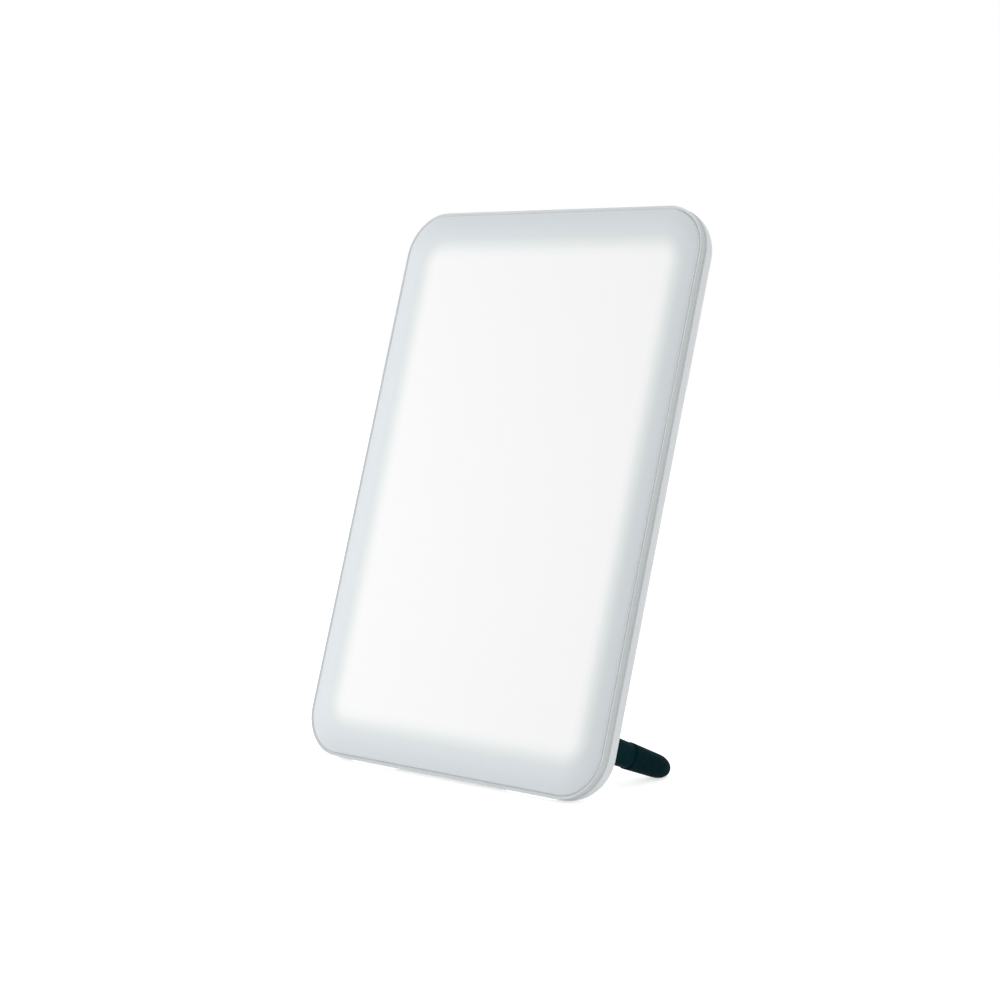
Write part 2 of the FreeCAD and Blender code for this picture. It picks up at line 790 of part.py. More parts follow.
# ---------------------------------------------------------------- supply inlet
def jack_body():
    """Moulded socket on the driver board, its nose through the inlet pocket's upper wall."""
    x_range = (-jack_width / 2, jack_width / 2)
    depth_range = (jack_axis - jack_height / 2, jack_axis + jack_height / 2)
    body = block(x_range, depth_range, (jack_base, jack_base + jack_length))
    mouth = point(0, jack_axis, jack_base - jack_nose_length)
    nose = rod(jack_nose_radius - jack_nose_flat, mouth, jack_nose_length, upward)
    bore = rod(jack_bore_radius, mouth, jack_bore_length, upward)
    return joined([body, nose]).cut(bore)


def jack_pin():
    start = point(0, jack_axis, jack_base - jack_nose_length / 2)
    length = jack_bore_length - jack_nose_length / 2
    pin = rod(jack_pin_radius, start, length, upward)
    tip = [e for e in pin.Edges if e.BoundBox.ZLength < 0.01 and e.BoundBox.ZMax < start.z + 0.01]
    return pin.makeFillet(jack_pin_tip, tip)


# ---------------------------------------------------------------- power button
def button_bezel():
    """Ring that lines the button's hole and holds the cap in."""
    liner = ring(bezel_radius, button_bore, point(0, back_inner, button_height), shell_wall + bezel_rise)
    flange_start = point(0, back_inner - bezel_flange, button_height)
    flange = ring(bezel_radius + button_flange, button_bore, flange_start, bezel_flange)
    return joined([liner, flange])


def button_cap():
    top = rear_depth + button_rise
    base = cap_flange_top - button_flange_thickness
    stem = rod(button_radius, point(0, base, button_height), top - base)
    rim = [e for e in stem.Edges if abs(e.BoundBox.YMin - top) < 0.01]
    stem = stem.makeFillet(button_edge, rim)
    flange_radius = button_radius + button_flange
    flange = rod(flange_radius, point(0, base, button_height), button_flange_thickness)
    return joined([stem, flange])


def tact_switch():
    """Square switch on the driver board behind the button."""
    body = component_block(0, button_height, switch_size, switch_size, switch_height)
    bore_start = point(0, driver_back + switch_floor, button_height)
    return body.cut(rod(plunger_radius + pin_running_gap, bore_start, switch_height))


def switch_plunger():
    start = driver_back + switch_floor + button_travel + free_gap
    finish = cap_flange_top - button_flange_thickness
    return rod(plunger_radius, point(0, start, button_height), finish - start)


# ---------------------------------------------------------------- swing legs
def finger(grow, start):
    """The leg's tapering bar from start along its length to its round tip, widened by grow."""
    root = leg_root_height / 2 + grow
    tip = leg_tip_height / 2 + grow
    angle = math.asin((root - tip) / leg_reach)
    side = leg_offset - leg_width / 2 - grow

    def place(along, above):
        return point(side, hinge_depth + along, hinge_height + above)

    upper_root = place(root * math.sin(angle), root * math.cos(angle))
    lower_root = place(root * math.sin(angle), -root * math.cos(angle))
    upper_tip = place(leg_reach + tip * math.sin(angle), tip * math.cos(angle))
    lower_tip = place(leg_reach + tip * math.sin(angle), -tip * math.cos(angle))
    outline = Part.Wire([
        Part.LineSegment(lower_root, lower_tip).toShape(),
        Part.Arc(lower_tip, place(leg_reach + tip, 0), upper_tip).toShape(),
        Part.LineSegment(upper_tip, upper_root).toShape(),
        Part.LineSegment(upper_root, lower_root).toShape(),
    ])
    bar = Part.Face(outline).extrude(across * (leg_width + 2 * grow))
    long_edges = [e for e in bar.Edges if e.BoundBox.XLength < 0.01 and e.BoundBox.YMax > hinge_depth + root]
    bar = bar.makeFillet(leg_edge_radius + grow, long_edges)
    reach = leg_reach + leg_root_height
    keep = block(
        (side - 1, side + leg_width + 2 * grow + 1),
        (hinge_depth + start, hinge_depth + reach),
        (hinge_height - reach, hinge_height + reach),
    )
    bar = bar.common(keep)
    bar.rotate(point(0, hinge_depth, hinge_height), across, -leg_droop)
    return bar


def leg_core():
    """Stiff bar of the leg with its hinge knuckle and the spigot inside the boot."""
    low = hinge_height - leg_root_height / 2
    knuckle = rod(knuckle_radius, point(leg_offset, hinge_depth, low), leg_root_height, upward)
    bar = finger(0, finger_start).cut(finger(boot_step, boot_start))
    spigot = finger(-boot_wall, boot_start - boot_wall)
    core = joined([knuckle, bar, spigot])
    core = core.cut(rod(bush_radius, point(leg_offset, hinge_depth, low), leg_root_height, upward))
    for height in (low - leg_root_height, low + leg_root_height):
        start = point(leg_offset, hinge_depth, height)
        core = core.cut(rod(hinge_boss_radius + free_gap, start, leg_root_height, upward))
    return core


def leg_boot():
    """Rubber sleeve over the end of the leg."""
    return finger(boot_step, boot_start).cut(finger(-boot_wall, boot_start - boot_wall))


def leg_bush():
    low = hinge_height - leg_root_height / 2
    start = point(leg_offset, hinge_depth, low)
    return ring(bush_radius, pin_radius + pin_running_gap, start, leg_root_height, upward)


def hinge_pin():
    start = point(leg_offset, hinge_depth, pin_low)
    return rod(pin_radius, start, pin_high - pin_low, upward)


def hinge_washers():
    """Wave washers above and below the knuckle, drawn flat."""
    above = hinge_height + leg_root_height / 2 + washer_gap
    below = hinge_height - leg_root_height / 2 - washer_gap - washer_thickness
    washers = []
    for height in (below, above):
        start = point(leg_offset, hinge_depth, height)
        washers.append(ring(hinge_boss_radius, pin_radius + thread_gap, start, washer_thickness, upward))
    return Part.makeCompound(washers)


# ---------------------------------------------------------------- writing the pieces
def all_pieces():
    pieces = {
        "front_diffuser": front_diffuser(),
        "trim_ring": trim_ring(),
        "diffuser_film": diffuser_film(),
        "reflector_tray": reflector_tray(),
        "led_board": led_board(),
        "led_chips": led_chips(),
        "heat_spreader": heat_spreader(),
        "spreader_screws": spreader_screws(),
        "chassis_frame": chassis_frame(),
        "seam_seal": seam_seal(),
        "rear_housing": rear_housing(),
        "housing_screws": housing_screws(),
        "screw_plugs": screw_plugs(),
        "foot_pads": foot_pads(),
        "rating_plate": rating_plate(),
        "driver_board": driver_board(),
        "driver_screws": driver_screws(),
        "driver_chips": driver_chips(),
        "inductor_core": inductor_core(),
        "inductor_winding": inductor_winding(),
        "capacitors": capacitors(),
        "lead_socket": lead_socket(),
        "lead_red": lead(-lead_offset),
        "lead_black": lead(lead_offset),
        "jack_body": jack_body(),
        "jack_pin": jack_pin(),
        "tact_switch": tact_switch(),
        "switch_plunger": switch_plunger(),
        "button_cap": button_cap(),
        "button_bezel": button_bezel(),
    }
    leg_pieces = {
        "leg": leg_core(),
        "leg_boot": leg_boot(),
        "leg_bush": leg_bush(),
        "hinge_pin": hinge_pin(),
        "hinge_washers": hinge_washers(),
    }
    for name, shape in leg_pieces.items():
        pieces["right_" + name] = shape
        pieces["left_" + name] = mirrored(shape)
    return pieces


def main():
    os.makedirs("parts", exist_ok=True)
    for name, shape in all_pieces().items():
        placed = stand(shape)
        placed.exportStep("parts/" + name + ".step")
        print(name, len(placed.Solids), placed.isValid(), round(placed.Volume, 1))


main()
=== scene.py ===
# %% [markdown]
# # A light therapy lamp, dressed
# The lamp is a thin slab that leans back on two short legs. Its construction, sizes and joints
# come packed as a fixed frame. This lesson gives each surface its finish: the milky front with
# light behind it, the thin ring round it, the moulded back, the dark legs with their rubber
# boots, and the small parts of the back.

# %% Load the frame
import json
import math

import bmesh
import bpy
import mathutils
import numpy as np
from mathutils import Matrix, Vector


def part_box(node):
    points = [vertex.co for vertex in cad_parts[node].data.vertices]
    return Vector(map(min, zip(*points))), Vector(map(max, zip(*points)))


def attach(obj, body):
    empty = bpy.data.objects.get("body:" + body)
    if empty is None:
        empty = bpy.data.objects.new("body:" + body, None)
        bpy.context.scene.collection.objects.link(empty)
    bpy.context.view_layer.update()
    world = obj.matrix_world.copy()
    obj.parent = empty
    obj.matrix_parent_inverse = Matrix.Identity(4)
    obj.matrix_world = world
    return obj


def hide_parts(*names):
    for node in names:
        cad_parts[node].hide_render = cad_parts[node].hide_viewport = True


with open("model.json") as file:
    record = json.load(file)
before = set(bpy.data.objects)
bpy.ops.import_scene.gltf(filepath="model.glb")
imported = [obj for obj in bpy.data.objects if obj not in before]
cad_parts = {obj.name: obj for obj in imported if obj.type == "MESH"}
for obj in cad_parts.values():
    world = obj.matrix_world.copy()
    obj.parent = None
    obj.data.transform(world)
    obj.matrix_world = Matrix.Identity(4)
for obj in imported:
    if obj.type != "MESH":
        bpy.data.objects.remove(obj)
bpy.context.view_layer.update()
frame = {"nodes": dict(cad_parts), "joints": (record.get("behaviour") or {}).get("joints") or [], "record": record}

nodes = frame["nodes"]

# %% [markdown]
# ## Working upright, placing tilted
# The real slab is easier to think of standing upright: how far across, how deep behind the front
# ring, how high up its own face. The swing axis of a leg runs straight up the slab, so the frame
# itself tells how far the slab leans, and the hinge tells where it stands. Every surface below is
# computed upright and then leaned back by one function.

# %% Slab coordinates
MM = 0.001
SLAB_WIDTH = 156 * MM
SLAB_HEIGHT = 236 * MM
CORNER_RADIUS = 19 * MM
REAR_DEPTH = 18 * MM
ROLL_WIDTH = 18 * MM
ROLL_DEPTH = 14 * MM
SHELL_WALL = 2 * MM
HINGE_DEPTH = 13.5 * MM
HINGE_HEIGHT = 23.8 * MM
MIDDLE = SLAB_HEIGHT / 2

swings = {joint["name"]: joint for joint in frame["joints"]}
swing = swings["right_leg_swing"]
lean = math.atan2(swing["axis"][1], swing["axis"][2])
upward = np.array([0.0, math.sin(lean), math.cos(lean)])
backward = np.array([0.0, math.cos(lean), -math.sin(lean)])
across = np.array([1.0, 0.0, 0.0])
hinge = np.array(swing["pos_m"])
LEG_OFFSET = float(hinge[0])
slab_origin = hinge - LEG_OFFSET * across - HINGE_DEPTH * backward - HINGE_HEIGHT * upward


def place(x, depth, height):
    """Slab coordinates to the row frame: origin + x*across + depth*backward + height*upward."""
    x, depth, height = np.broadcast_arrays(x, depth, height)
    return slab_origin + x[..., None] * across + depth[..., None] * backward + height[..., None] * upward


def unplace(points):
    """The row frame back to slab coordinates: the three shares of (point - origin)."""
    moved = points - slab_origin
    return moved @ across, moved @ backward, moved @ upward


print("lean in degrees:", round(math.degrees(lean), 2), "slab origin:", slab_origin.round(4))

# %% [markdown]
# ## Camera
# A flat thing is often shown from well to one side and through a long lens, which tells its
# thickness and keeps its edges nearly parallel. The camera stands to the lamp's right
# and a little above it, and looks at the middle of the slab.

# %% Place the camera
LENS = 78.1
SENSOR = 36.0
CAMERA_AZIMUTH = math.radians(41.0)
CAMERA_ELEVATION = math.radians(5.3)
CAMERA_DISTANCE = 829 * MM
TARGET_X = 31.6 * MM
TARGET_HEIGHT = 112.0 * MM

target = slab_origin + np.array([TARGET_X, 0.0, TARGET_HEIGHT])
toward_camera = np.array([
    math.sin(CAMERA_AZIMUTH) * math.cos(CAMERA_ELEVATION),
    -math.cos(CAMERA_AZIMUTH) * math.cos(CAMERA_ELEVATION),
    math.sin(CAMERA_ELEVATION),
])
camera_data = bpy.data.cameras.new("camera")
camera_data.lens = LENS
camera_data.sensor_width = SENSOR
camera = bpy.data.objects.new("camera", camera_data)
camera.location = target + CAMERA_DISTANCE * toward_camera
camera.rotation_euler = (math.pi / 2 - CAMERA_ELEVATION, 0.0, CAMERA_AZIMUTH)
bpy.context.scene.collection.objects.link(camera)
bpy.context.scene.camera = camera
bpy.context.scene.view_settings.view_transform = "Standard"
print("camera stands at", np.array(camera.location).round(3))

# %% [markdown]
# ## Surfaces from arrays
# A piece is a grid of points: rows follow a profile, columns go round it. One helper turns such a
# grid into a skin. It closes the grid round its columns, and closes its first and last rows with
# a single point each, or, for a ring, joins the last row to the first. The signed volume of the
# closed skin tells whether its faces point outwards, and they are turned if they don't.

# %% Close a grid of points into a skin


def grid_faces(rows, columns, wrap_rows=False):
    """Quads between neighbouring rows and columns; columns always close on themselves."""
    index = np.arange(rows * columns).reshape(rows, columns)
    below = index if wrap_rows else index[:-1]
    above = np.roll(index, -1, axis=0) if wrap_rows else index[1:]
    after_below = np.roll(below, -1, axis=1)
    after_above = np.roll(above, -1, axis=1)
    return np.stack([below, after_below, after_above, above], axis=-1).reshape(-1, 4)


def fan(pole, ring):
    """Triangles from one point to a closed ring of points."""
    return np.stack([np.full(len(ring), pole), np.roll(ring, -1), ring], axis=-1)


def signed_volume(vertices, faces):
    """Sum of a . (b x c) / 6 over the fan of every face: positive when faces point outwards."""
    total = 0.0
    for block in faces:
        for second in range(1, block.shape[1] - 1):
            a, b, c = vertices[block[:, 0]], vertices[block[:, second]], vertices[block[:, second + 1]]
            total += float(np.einsum("ij,ij->i", a, np.cross(b, c)).sum()) / 6
    return total


def skin(points, ring=False):
    """Vertices and face blocks of one closed skin from a rows x columns grid of points."""
    rows, columns, _ = points.shape
    vertices = points.reshape(-1, 3)
    faces = [grid_faces(rows, columns, wrap_rows=ring)]
    if not ring:
        count = len(vertices)
        vertices = np.concatenate([vertices, points[0].mean(0)[None], points[-1].mean(0)[None]])
        faces.append(fan(count, np.arange(columns)))
        faces.append(fan(count + 1, np.arange(columns) + (rows - 1) * columns)[:, ::-1])
    if signed_volume(vertices - vertices.mean(0), faces) < 0:
        faces = [block[:, ::-1] for block in faces]
    return vertices, faces


print("quads on a sleeve of 3 rows by 8 columns:", len(grid_faces(3, 8)))

# %% [markdown]
# ## From skins to pieces
# Every piece is made by the same moves: its points are welded where they meet, its mesh is placed
# at the origin, it is hung on the empty of the body that carries it, and the plain piece it stands for is hidden.
# Its finish is kept under the name of its slot, for the parts that keep their own mesh.

# %% Weld, place and name a piece
WELD_REACH = 0.001 * MM
finishes = {}


def weld(mesh):
    """Joins points that fall on each other, drops faces with no area, and shades the rest smooth."""
    work = bmesh.new()
    work.from_mesh(mesh)
    bmesh.ops.remove_doubles(work, verts=work.verts, dist=WELD_REACH)
    work.to_mesh(mesh)
    work.free()
    mesh.polygons.foreach_set("use_smooth", np.ones(len(mesh.polygons), dtype=bool))
    mesh.update()


def mesh_piece(name, skins, body, replaced, slot, finish):
    """One piece from one or more closed skins, shaded smooth, riding on a body."""
    vertices, faces, count = [], [], 0
    for points, blocks in skins:
        vertices.append(points)
        for block in blocks:
            faces += (block + count).tolist()
        count += len(points)
    mesh = bpy.data.meshes.new(name)
    mesh.from_pydata(np.concatenate(vertices).tolist(), [], faces)
    weld(mesh)
    return show(name, mesh, body, replaced, slot, finish)


def show(name, mesh, body, replaced, slot, finish):
    """Puts a mesh in the scene at the origin, hangs it on its body's empty and hides what it stands for."""
    piece = bpy.data.objects.new(name, mesh)
    bpy.context.scene.collection.objects.link(piece)
    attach(piece, body)
    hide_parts(*replaced)
    mesh.materials.append(finish)
    finishes[slot] = finish
    print(name, "faces:", len(mesh.polygons))
    return piece


print("points closer than", WELD_REACH, "m are welded")

# %% [markdown]
# ## Profiles with soft corners
# Moulded plastic has no knife edges. A profile is written with its few true corners, and each
# corner is then swapped for a short curve that leaves one line and meets the next.

# %% Soften a profile


def soften(corners, radius, steps=4):
    """Each corner c becomes (1-t)^2*a + 2t(1-t)*c + t^2*b, with a and b at radius before and after it."""
    corners = np.asarray(corners, dtype=float)
    before, here, after = corners[:-2], corners[1:-1], corners[2:]
    radius = np.broadcast_to(np.asarray(radius, dtype=float), (len(here),))[:, None]
    into, out = before - here, after - here
    start = here + into / np.linalg.norm(into, axis=1, keepdims=True) * radius
    finish = here + out / np.linalg.norm(out, axis=1, keepdims=True) * radius
    t = np.linspace(0, 1, steps)[None, :, None]
    bend = (1 - t) ** 2 * start[:, None] + 2 * t * (1 - t) * here[:, None] + t ** 2 * finish[:, None]
    return np.concatenate([corners[:1], bend.reshape(-1, corners.shape[1]), corners[-1:]])


def soften_loop(corners, radius):
    """The same for a closed profile: its ends are lapped by one corner, then dropped."""
    return soften([corners[-1], *corners, corners[0]], radius)[1:-1]


print("points of a softened square:", len(soften_loop([(0, 0), (1, 0), (1, 1), (0, 1)], 0.1)))

# %% [markdown]
# A profile becomes a surface in one of three ways: it is carried round the slab's outline, turned
# about a line that runs straight into the back, or turned about the axis of a hinge.

# %% Carry a profile round
CORNER_STEPS = 20
HINGE_COLUMNS = 48


def outline_angles():
    """For every column of an outline: its corner's side, its corner's end, and its turning angle."""
    quarter = np.repeat(np.arange(4), CORNER_STEPS)
    angle = (quarter + np.tile(np.linspace(0, 1, CORNER_STEPS), 4)) * math.pi / 2
    return np.where((quarter == 0) | (quarter == 3), 1, -1), np.where(quarter < 2, 1, -1), angle


def rounded_rings(half_width, half_height, corner, inset, shrink):
    """Rings of a rounded rectangle about the origin, one per profile point, as across and up.

    Each corner is a quarter circle of radius (corner - inset) about its own fixed centre.
    shrink scales a ring about the middle, to fill the flat inside the outline.
    """
    inset, shrink = (np.asarray(a, dtype=float)[:, None] for a in np.broadcast_arrays(inset, shrink))
    side, end, angle = outline_angles()
    radius = corner - inset
    x = side * (half_width - corner) + radius * np.cos(angle)
    up = end * (half_height - corner) + radius * np.sin(angle)
    return x * shrink, up * shrink


def slab_rings(inset, depth, shrink=1.0):
    """Rings of the slab's own outline, each at its depth."""
    x, up = rounded_rings(SLAB_WIDTH / 2, SLAB_HEIGHT / 2, CORNER_RADIUS, inset, shrink)
    return place(x, np.asarray(depth)[:, None], MIDDLE + up)


def turned(profile, x, height, count=64):
    """Turns (radius, depth) about a line of depth, to (x + radius*cos(a), height + radius*sin(a))."""
    angle = np.linspace(0, 2 * math.pi, count, endpoint=False)
    radius, depth = profile[:, :1], profile[:, 1:]
    return place(x + radius * np.cos(angle), depth, height + radius * np.sin(angle))


def turned_upright(profile, x, wave=0.0):
    """Turns (radius, rise) about a hinge's axis; wave*cos(3a) on the rise makes three crests."""
    angle = np.linspace(0, 2 * math.pi, HINGE_COLUMNS, endpoint=False)
    radius, rise = profile[:, :1], profile[:, 1:] + wave * np.cos(3 * angle)
    return place(x + radius * np.cos(angle), HINGE_DEPTH + radius * np.sin(angle), HINGE_HEIGHT + rise)


print("points round the slab's outline:", len(outline_angles()[2]))

# %% [markdown]
# ## Materials from nodes
# Moulded plastic is never one flat colour: its skin has a fine grain from the mould, slow drifts
# of tone and tiny changes of gloss. A small set of helpers builds such a finish from noise that
# reads Object coordinates, so that it stays with the piece in every view.

# %% Node helpers


def node(tree, kind, inputs=None, **settings):
    """Adds a node, sets its properties, and links or sets the inputs given by name or number."""
    made = tree.nodes.new("ShaderNode" + kind)
    for key, value in settings.items():
        setattr(made, key, value)
    for key, value in (inputs or {}).items():
        socket = made.inputs[key]
        if isinstance(value, bpy.types.NodeSocket):
            tree.links.new(value, socket)
        else:
            socket.default_value = value
    return made


def start_material(name, **shader_values):
    """A material with its Principled shader's own sockets set; returns (material, tree, shader)."""
    material = bpy.data.materials.new(name)
    material.use_nodes = True
    shader = material.node_tree.nodes["Principled BSDF"]
    for key, value in shader_values.items():
        shader.inputs[key.replace("_", " ")].default_value = value
    return material, material.node_tree, shader


def linear(red, green, blue):
    """An sRGB colour of 0 to 255 as linear light, by the sRGB curve."""
    values = np.array([red, green, blue]) / 255
    curve = np.where(values <= 0.04045, values / 12.92, ((values + 0.055) / 1.055) ** 2.4)
    return (*curve.tolist(), 1.0)


def object_coordinates(tree):
    """Where a point lies on its piece: every piece has its origin at the frame's origin."""
    return node(tree, "TexCoord").outputs["Object"]


def slab_vector(tree):
    """Object coordinates turned upright: x across, y depth, z height up the slab, in metres."""
    place_of_slab = {
        "Vector": object_coordinates(tree),
        "Location": slab_origin.tolist(),
        "Rotation": (-lean, 0.0, 0.0),
    }
    return node(tree, "Mapping", place_of_slab, vector_type="TEXTURE").outputs["Vector"]


def stretched(tree, vector, scale):
    """A vector scaled unevenly, so that noise on it draws out into streaks."""
    return node(tree, "Mapping", {"Vector": vector, "Scale": scale}).outputs["Vector"]


def noise(tree, scale, detail, vector):
    """Noise of 0 to 1 with so many waves to the metre, on the vector or, without one, Object coordinates."""
    inputs = {"Scale": scale, "Detail": detail, "Roughness": 0.5}
    inputs["Vector"] = vector or object_coordinates(tree)
    return node(tree, "TexNoise", inputs).outputs["Fac"]


print("middle grey as linear light:", round(linear(128, 128, 128)[0], 3))

# %% [markdown]
# A pattern reaches a shader in three ways: as a drift of its colour, as a change of its gloss and
# as relief. Noise seldom comes near 0 or 1, so its middle part is stretched over the whole range.

# %% From patterns to a shader
NOISE_LOW, NOISE_HIGH = 0.3, 0.7


def ramp(tree, factor, stops):
    """A colour ramp from a list of (position, colour)."""
    made = node(tree, "ValToRGB", {"Fac": factor})
    points = made.color_ramp.elements
    while len(points) < len(stops):
        points.new(0.5)
    for point, (position, colour) in zip(points, stops):
        point.position = position
        point.color = colour
    return made.outputs["Color"]


def spread(tree, value, low, high, start=0.0, finish=1.0):
    """Maps start..finish to low..high."""
    inputs = {"Value": value, "From Min": start, "From Max": finish, "To Min": low, "To Max": high}
    return node(tree, "MapRange", inputs).outputs["Result"]


def tones(colour, change):
    """The colour a little darker and a little lighter."""
    base = np.array(colour[:3])
    return (*(base * (1 - change)).tolist(), 1.0), (*np.minimum(base * (1 + change), 1.0).tolist(), 1.0)


def mottled(tree, shader, colour, change, scale, vector=None):
    """Base colour that drifts between two near tones."""
    dark, light = tones(colour, change)
    slow = noise(tree, scale, 3.0, vector)
    tree.links.new(ramp(tree, slow, [(NOISE_LOW, dark), (NOISE_HIGH, light)]), shader.inputs["Base Color"])


def uneven_gloss(tree, shader, low, high, scale, vector=None):
    """Roughness that wanders between low and high."""
    patches = noise(tree, scale, 3.0, vector)
    tree.links.new(spread(tree, patches, low, high, NOISE_LOW, NOISE_HIGH), shader.inputs["Roughness"])


def relief(tree, shader, scale, depth, strength=0.5, vector=None):
    """Fine relief of depth metres from noise, into the shader's normal."""
    height = noise(tree, scale, 2.0, vector)
    bump = node(tree, "Bump", {"Height": height, "Distance": depth, "Strength": strength})
    tree.links.new(bump.outputs["Normal"], shader.inputs["Normal"])


print("noise between", NOISE_LOW, "and", NOISE_HIGH, "covers a finish's whole range")

# %% [markdown]
# ## Three families of finish
# Three families cover nearly every part: moulded plastic with a mould grain, rubber that is dull
# and finely pitted, and metal with streaks that follow the way it was drawn or brushed.

# %% Families of finish
PLASTIC_DRIFT_SCALE, PLASTIC_GLOSS_SCALE = 18.0, 240.0
RUBBER_DRIFT_SCALE, RUBBER_GLOSS_SCALE, RUBBER_PIT_SCALE = 160.0, 400.0, 2400.0
RUBBER_DRIFT, RUBBER_PIT, RUBBER_PIT_STRENGTH = 0.12, 0.03 * MM, 0.6
METAL_DRIFT, METAL_RELIEF, METAL_RELIEF_STRENGTH = 0.08, 0.004 * MM, 0.3


def moulded(name, colour, gloss, grain=1500.0, depth=0.02 * MM, drift=0.03, **values):
    """Moulded plastic: slow drift of tone, mould grain as relief, gloss that wanders."""
    material, tree, shader = start_material(name, **values)
    mottled(tree, shader, colour, drift, PLASTIC_DRIFT_SCALE)
    uneven_gloss(tree, shader, *gloss, PLASTIC_GLOSS_SCALE)
    relief(tree, shader, grain, depth)
    return material


def rubber(name, colour, gloss, **values):
    """Dull rubber: a coarser pitted skin and a trace of bloom."""
    material, tree, shader = start_material(name, **{"Specular_IOR_Level": 0.4, **values})
    mottled(tree, shader, colour, RUBBER_DRIFT, RUBBER_DRIFT_SCALE)
    uneven_gloss(tree, shader, *gloss, RUBBER_GLOSS_SCALE)
    relief(tree, shader, RUBBER_PIT_SCALE, RUBBER_PIT, RUBBER_PIT_STRENGTH)
    return material


def metal(name, colour, gloss, streaks):
    """Drawn or brushed metal: tone, gloss and relief change together, in streaks.

    streaks gives the waves to the metre across, in depth and up; they run where it is smallest.
    """
    material, tree, shader = start_material(name, Metallic=1.0)
    along = stretched(tree, slab_vector(tree), streaks)
    mottled(tree, shader, colour, METAL_DRIFT, 1.0, along)
    uneven_gloss(tree, shader, *gloss, 1.0, along)
    relief(tree, shader, 1.0, METAL_RELIEF, METAL_RELIEF_STRENGTH, along)
    return material


print("families:", *(family.__name__ for family in (moulded, rubber, metal)))

# %% [markdown]
# ## Floor, background and light
# The lamp stands on white. The white comes from the floor and the world as the camera sees them,
# and not from more light: the world shows white to camera, mirror and glass rays, and gives a
# plain grey light to everything else.

# %% White floor and background
FLOOR_SIDE = 6.0
FLOOR_LIFT = 0.6
WORLD_LIGHT = 0.71


def shown_background(tree):
    """One for rays that show the background: camera, mirror and glass rays."""
    path = node(tree, "LightPath").outputs
    seen = node(tree, "Math", {0: path["Is Camera Ray"], 1: path["Is Glossy Ray"]}, operation="MAXIMUM")
    inputs = {0: seen.outputs[0], 1: path["Is Transmission Ray"]}
    return node(tree, "Math", inputs, operation="MAXIMUM").outputs[0]


world = bpy.data.worlds.new("studio")
world.use_nodes = True
background = world.node_tree.nodes["Background"]
background.inputs["Color"].default_value = (1.0, 1.0, 1.0, 1.0)
world_strength = spread(world.node_tree, shown_background(world.node_tree), WORLD_LIGHT, 1.0)
world.node_tree.links.new(world_strength, background.inputs["Strength"])
bpy.context.scene.world = world


def floor_paper():
    """White paper: takes the object's shadow, and is lifted to white where the camera sees it."""
    material, tree, shader = start_material("floor_paper", Roughness=0.9, Specular_IOR_Level=0.1)
    mottled(tree, shader, linear(246, 246, 246), 0.01, 60.0)
    shader.inputs["Emission Color"].default_value = (1.0, 1.0, 1.0, 1.0)
    tree.links.new(spread(tree, shown_background(tree), 0.0, FLOOR_LIFT), shader.inputs["Emission Strength"])
    return material


def floor_sheet(side, material):
    """A square on the ground from a two by two grid of points."""
    x, y = np.meshgrid([-side / 2, side / 2], [-side / 2, side / 2])
    mesh = bpy.data.meshes.new("floor")
    mesh.from_pydata(np.stack([x, y, 0 * x], axis=-1).reshape(-1, 3).tolist(), [], [(0, 1, 3, 2)])
    mesh.materials.append(material)
    sheet = bpy.data.objects.new("floor", mesh)
    bpy.context.scene.collection.objects.link(sheet)


floor_sheet(FLOOR_SIDE, floor_paper())
print("floor side:", FLOOR_SIDE, "world light:", WORLD_LIGHT)

# %% [markdown]
# Two large, soft lights shape the lamp: a key from the left and front, and a weak fill from the
# right, so that the right side is the shaded one.

# %% Key and fill light
KEY_POWER, KEY_PLACE, KEY_SIZE = 10.4, (-1.2, -0.85, 0.35), 1.0
FILL_POWER, FILL_PLACE, FILL_SIZE = 1.6, (1.1, -0.8, 0.7), 1.5


def soft_light(name, power, place_at, size):
    """A square area light that faces the middle of the lamp."""
    data = bpy.data.lights.new(name, "AREA")
    data.energy, data.size = power, size
    light = bpy.data.objects.new(name, data)
    light.location = place_at
    aim = mathutils.Vector(place_at) - mathutils.Vector((slab_origin + MIDDLE * upward).tolist())
    light.rotation_euler = aim.to_track_quat("Z", "Y").to_euler()
    bpy.context.scene.collection.objects.link(light)


soft_light("key_light", KEY_POWER, KEY_PLACE, KEY_SIZE)
soft_light("fill_light", FILL_POWER, FILL_PLACE, FILL_SIZE)
print("lights: key", KEY_POWER, "fill", FILL_POWER)

# %% [markdown]
# ## The opal cover
# The front is one milky plate over the whole face. It is flat in the middle, and over its last
# twelve millimetres it falls away along one shallow arc to a low upright rim, which sits inside
# the ring. Behind the rim a lip reaches into the housing. The whole closed skin is one profile
# carried round the slab's outline, from the middle of the front over the edge to the middle of
# the inner face.

# %% Shape the opal cover
COVER_INSET = 1.6 * MM
COVER_SEAT = 1.1 * MM
CROWN_DEPTH = 2.2 * MM
CROWN_RIM = 0.2 * MM
CROWN_ROLL = 12 * MM
COVER_WALL = 2.4 * MM
LIP_GAP = 0.15 * MM
LIP_WALL = 1.4 * MM
LIP_DEPTH = 3.2 * MM
INNER_FLAT = 1 * MM
RIM_SOFTNESS = np.array([0.1, 0.15, 0.15, 0.2, 0.2, 0.15]) * MM
CROWN_ROWS = 16
FLAT_ROWS = np.linspace(0.02, 1, 9)[:-1]


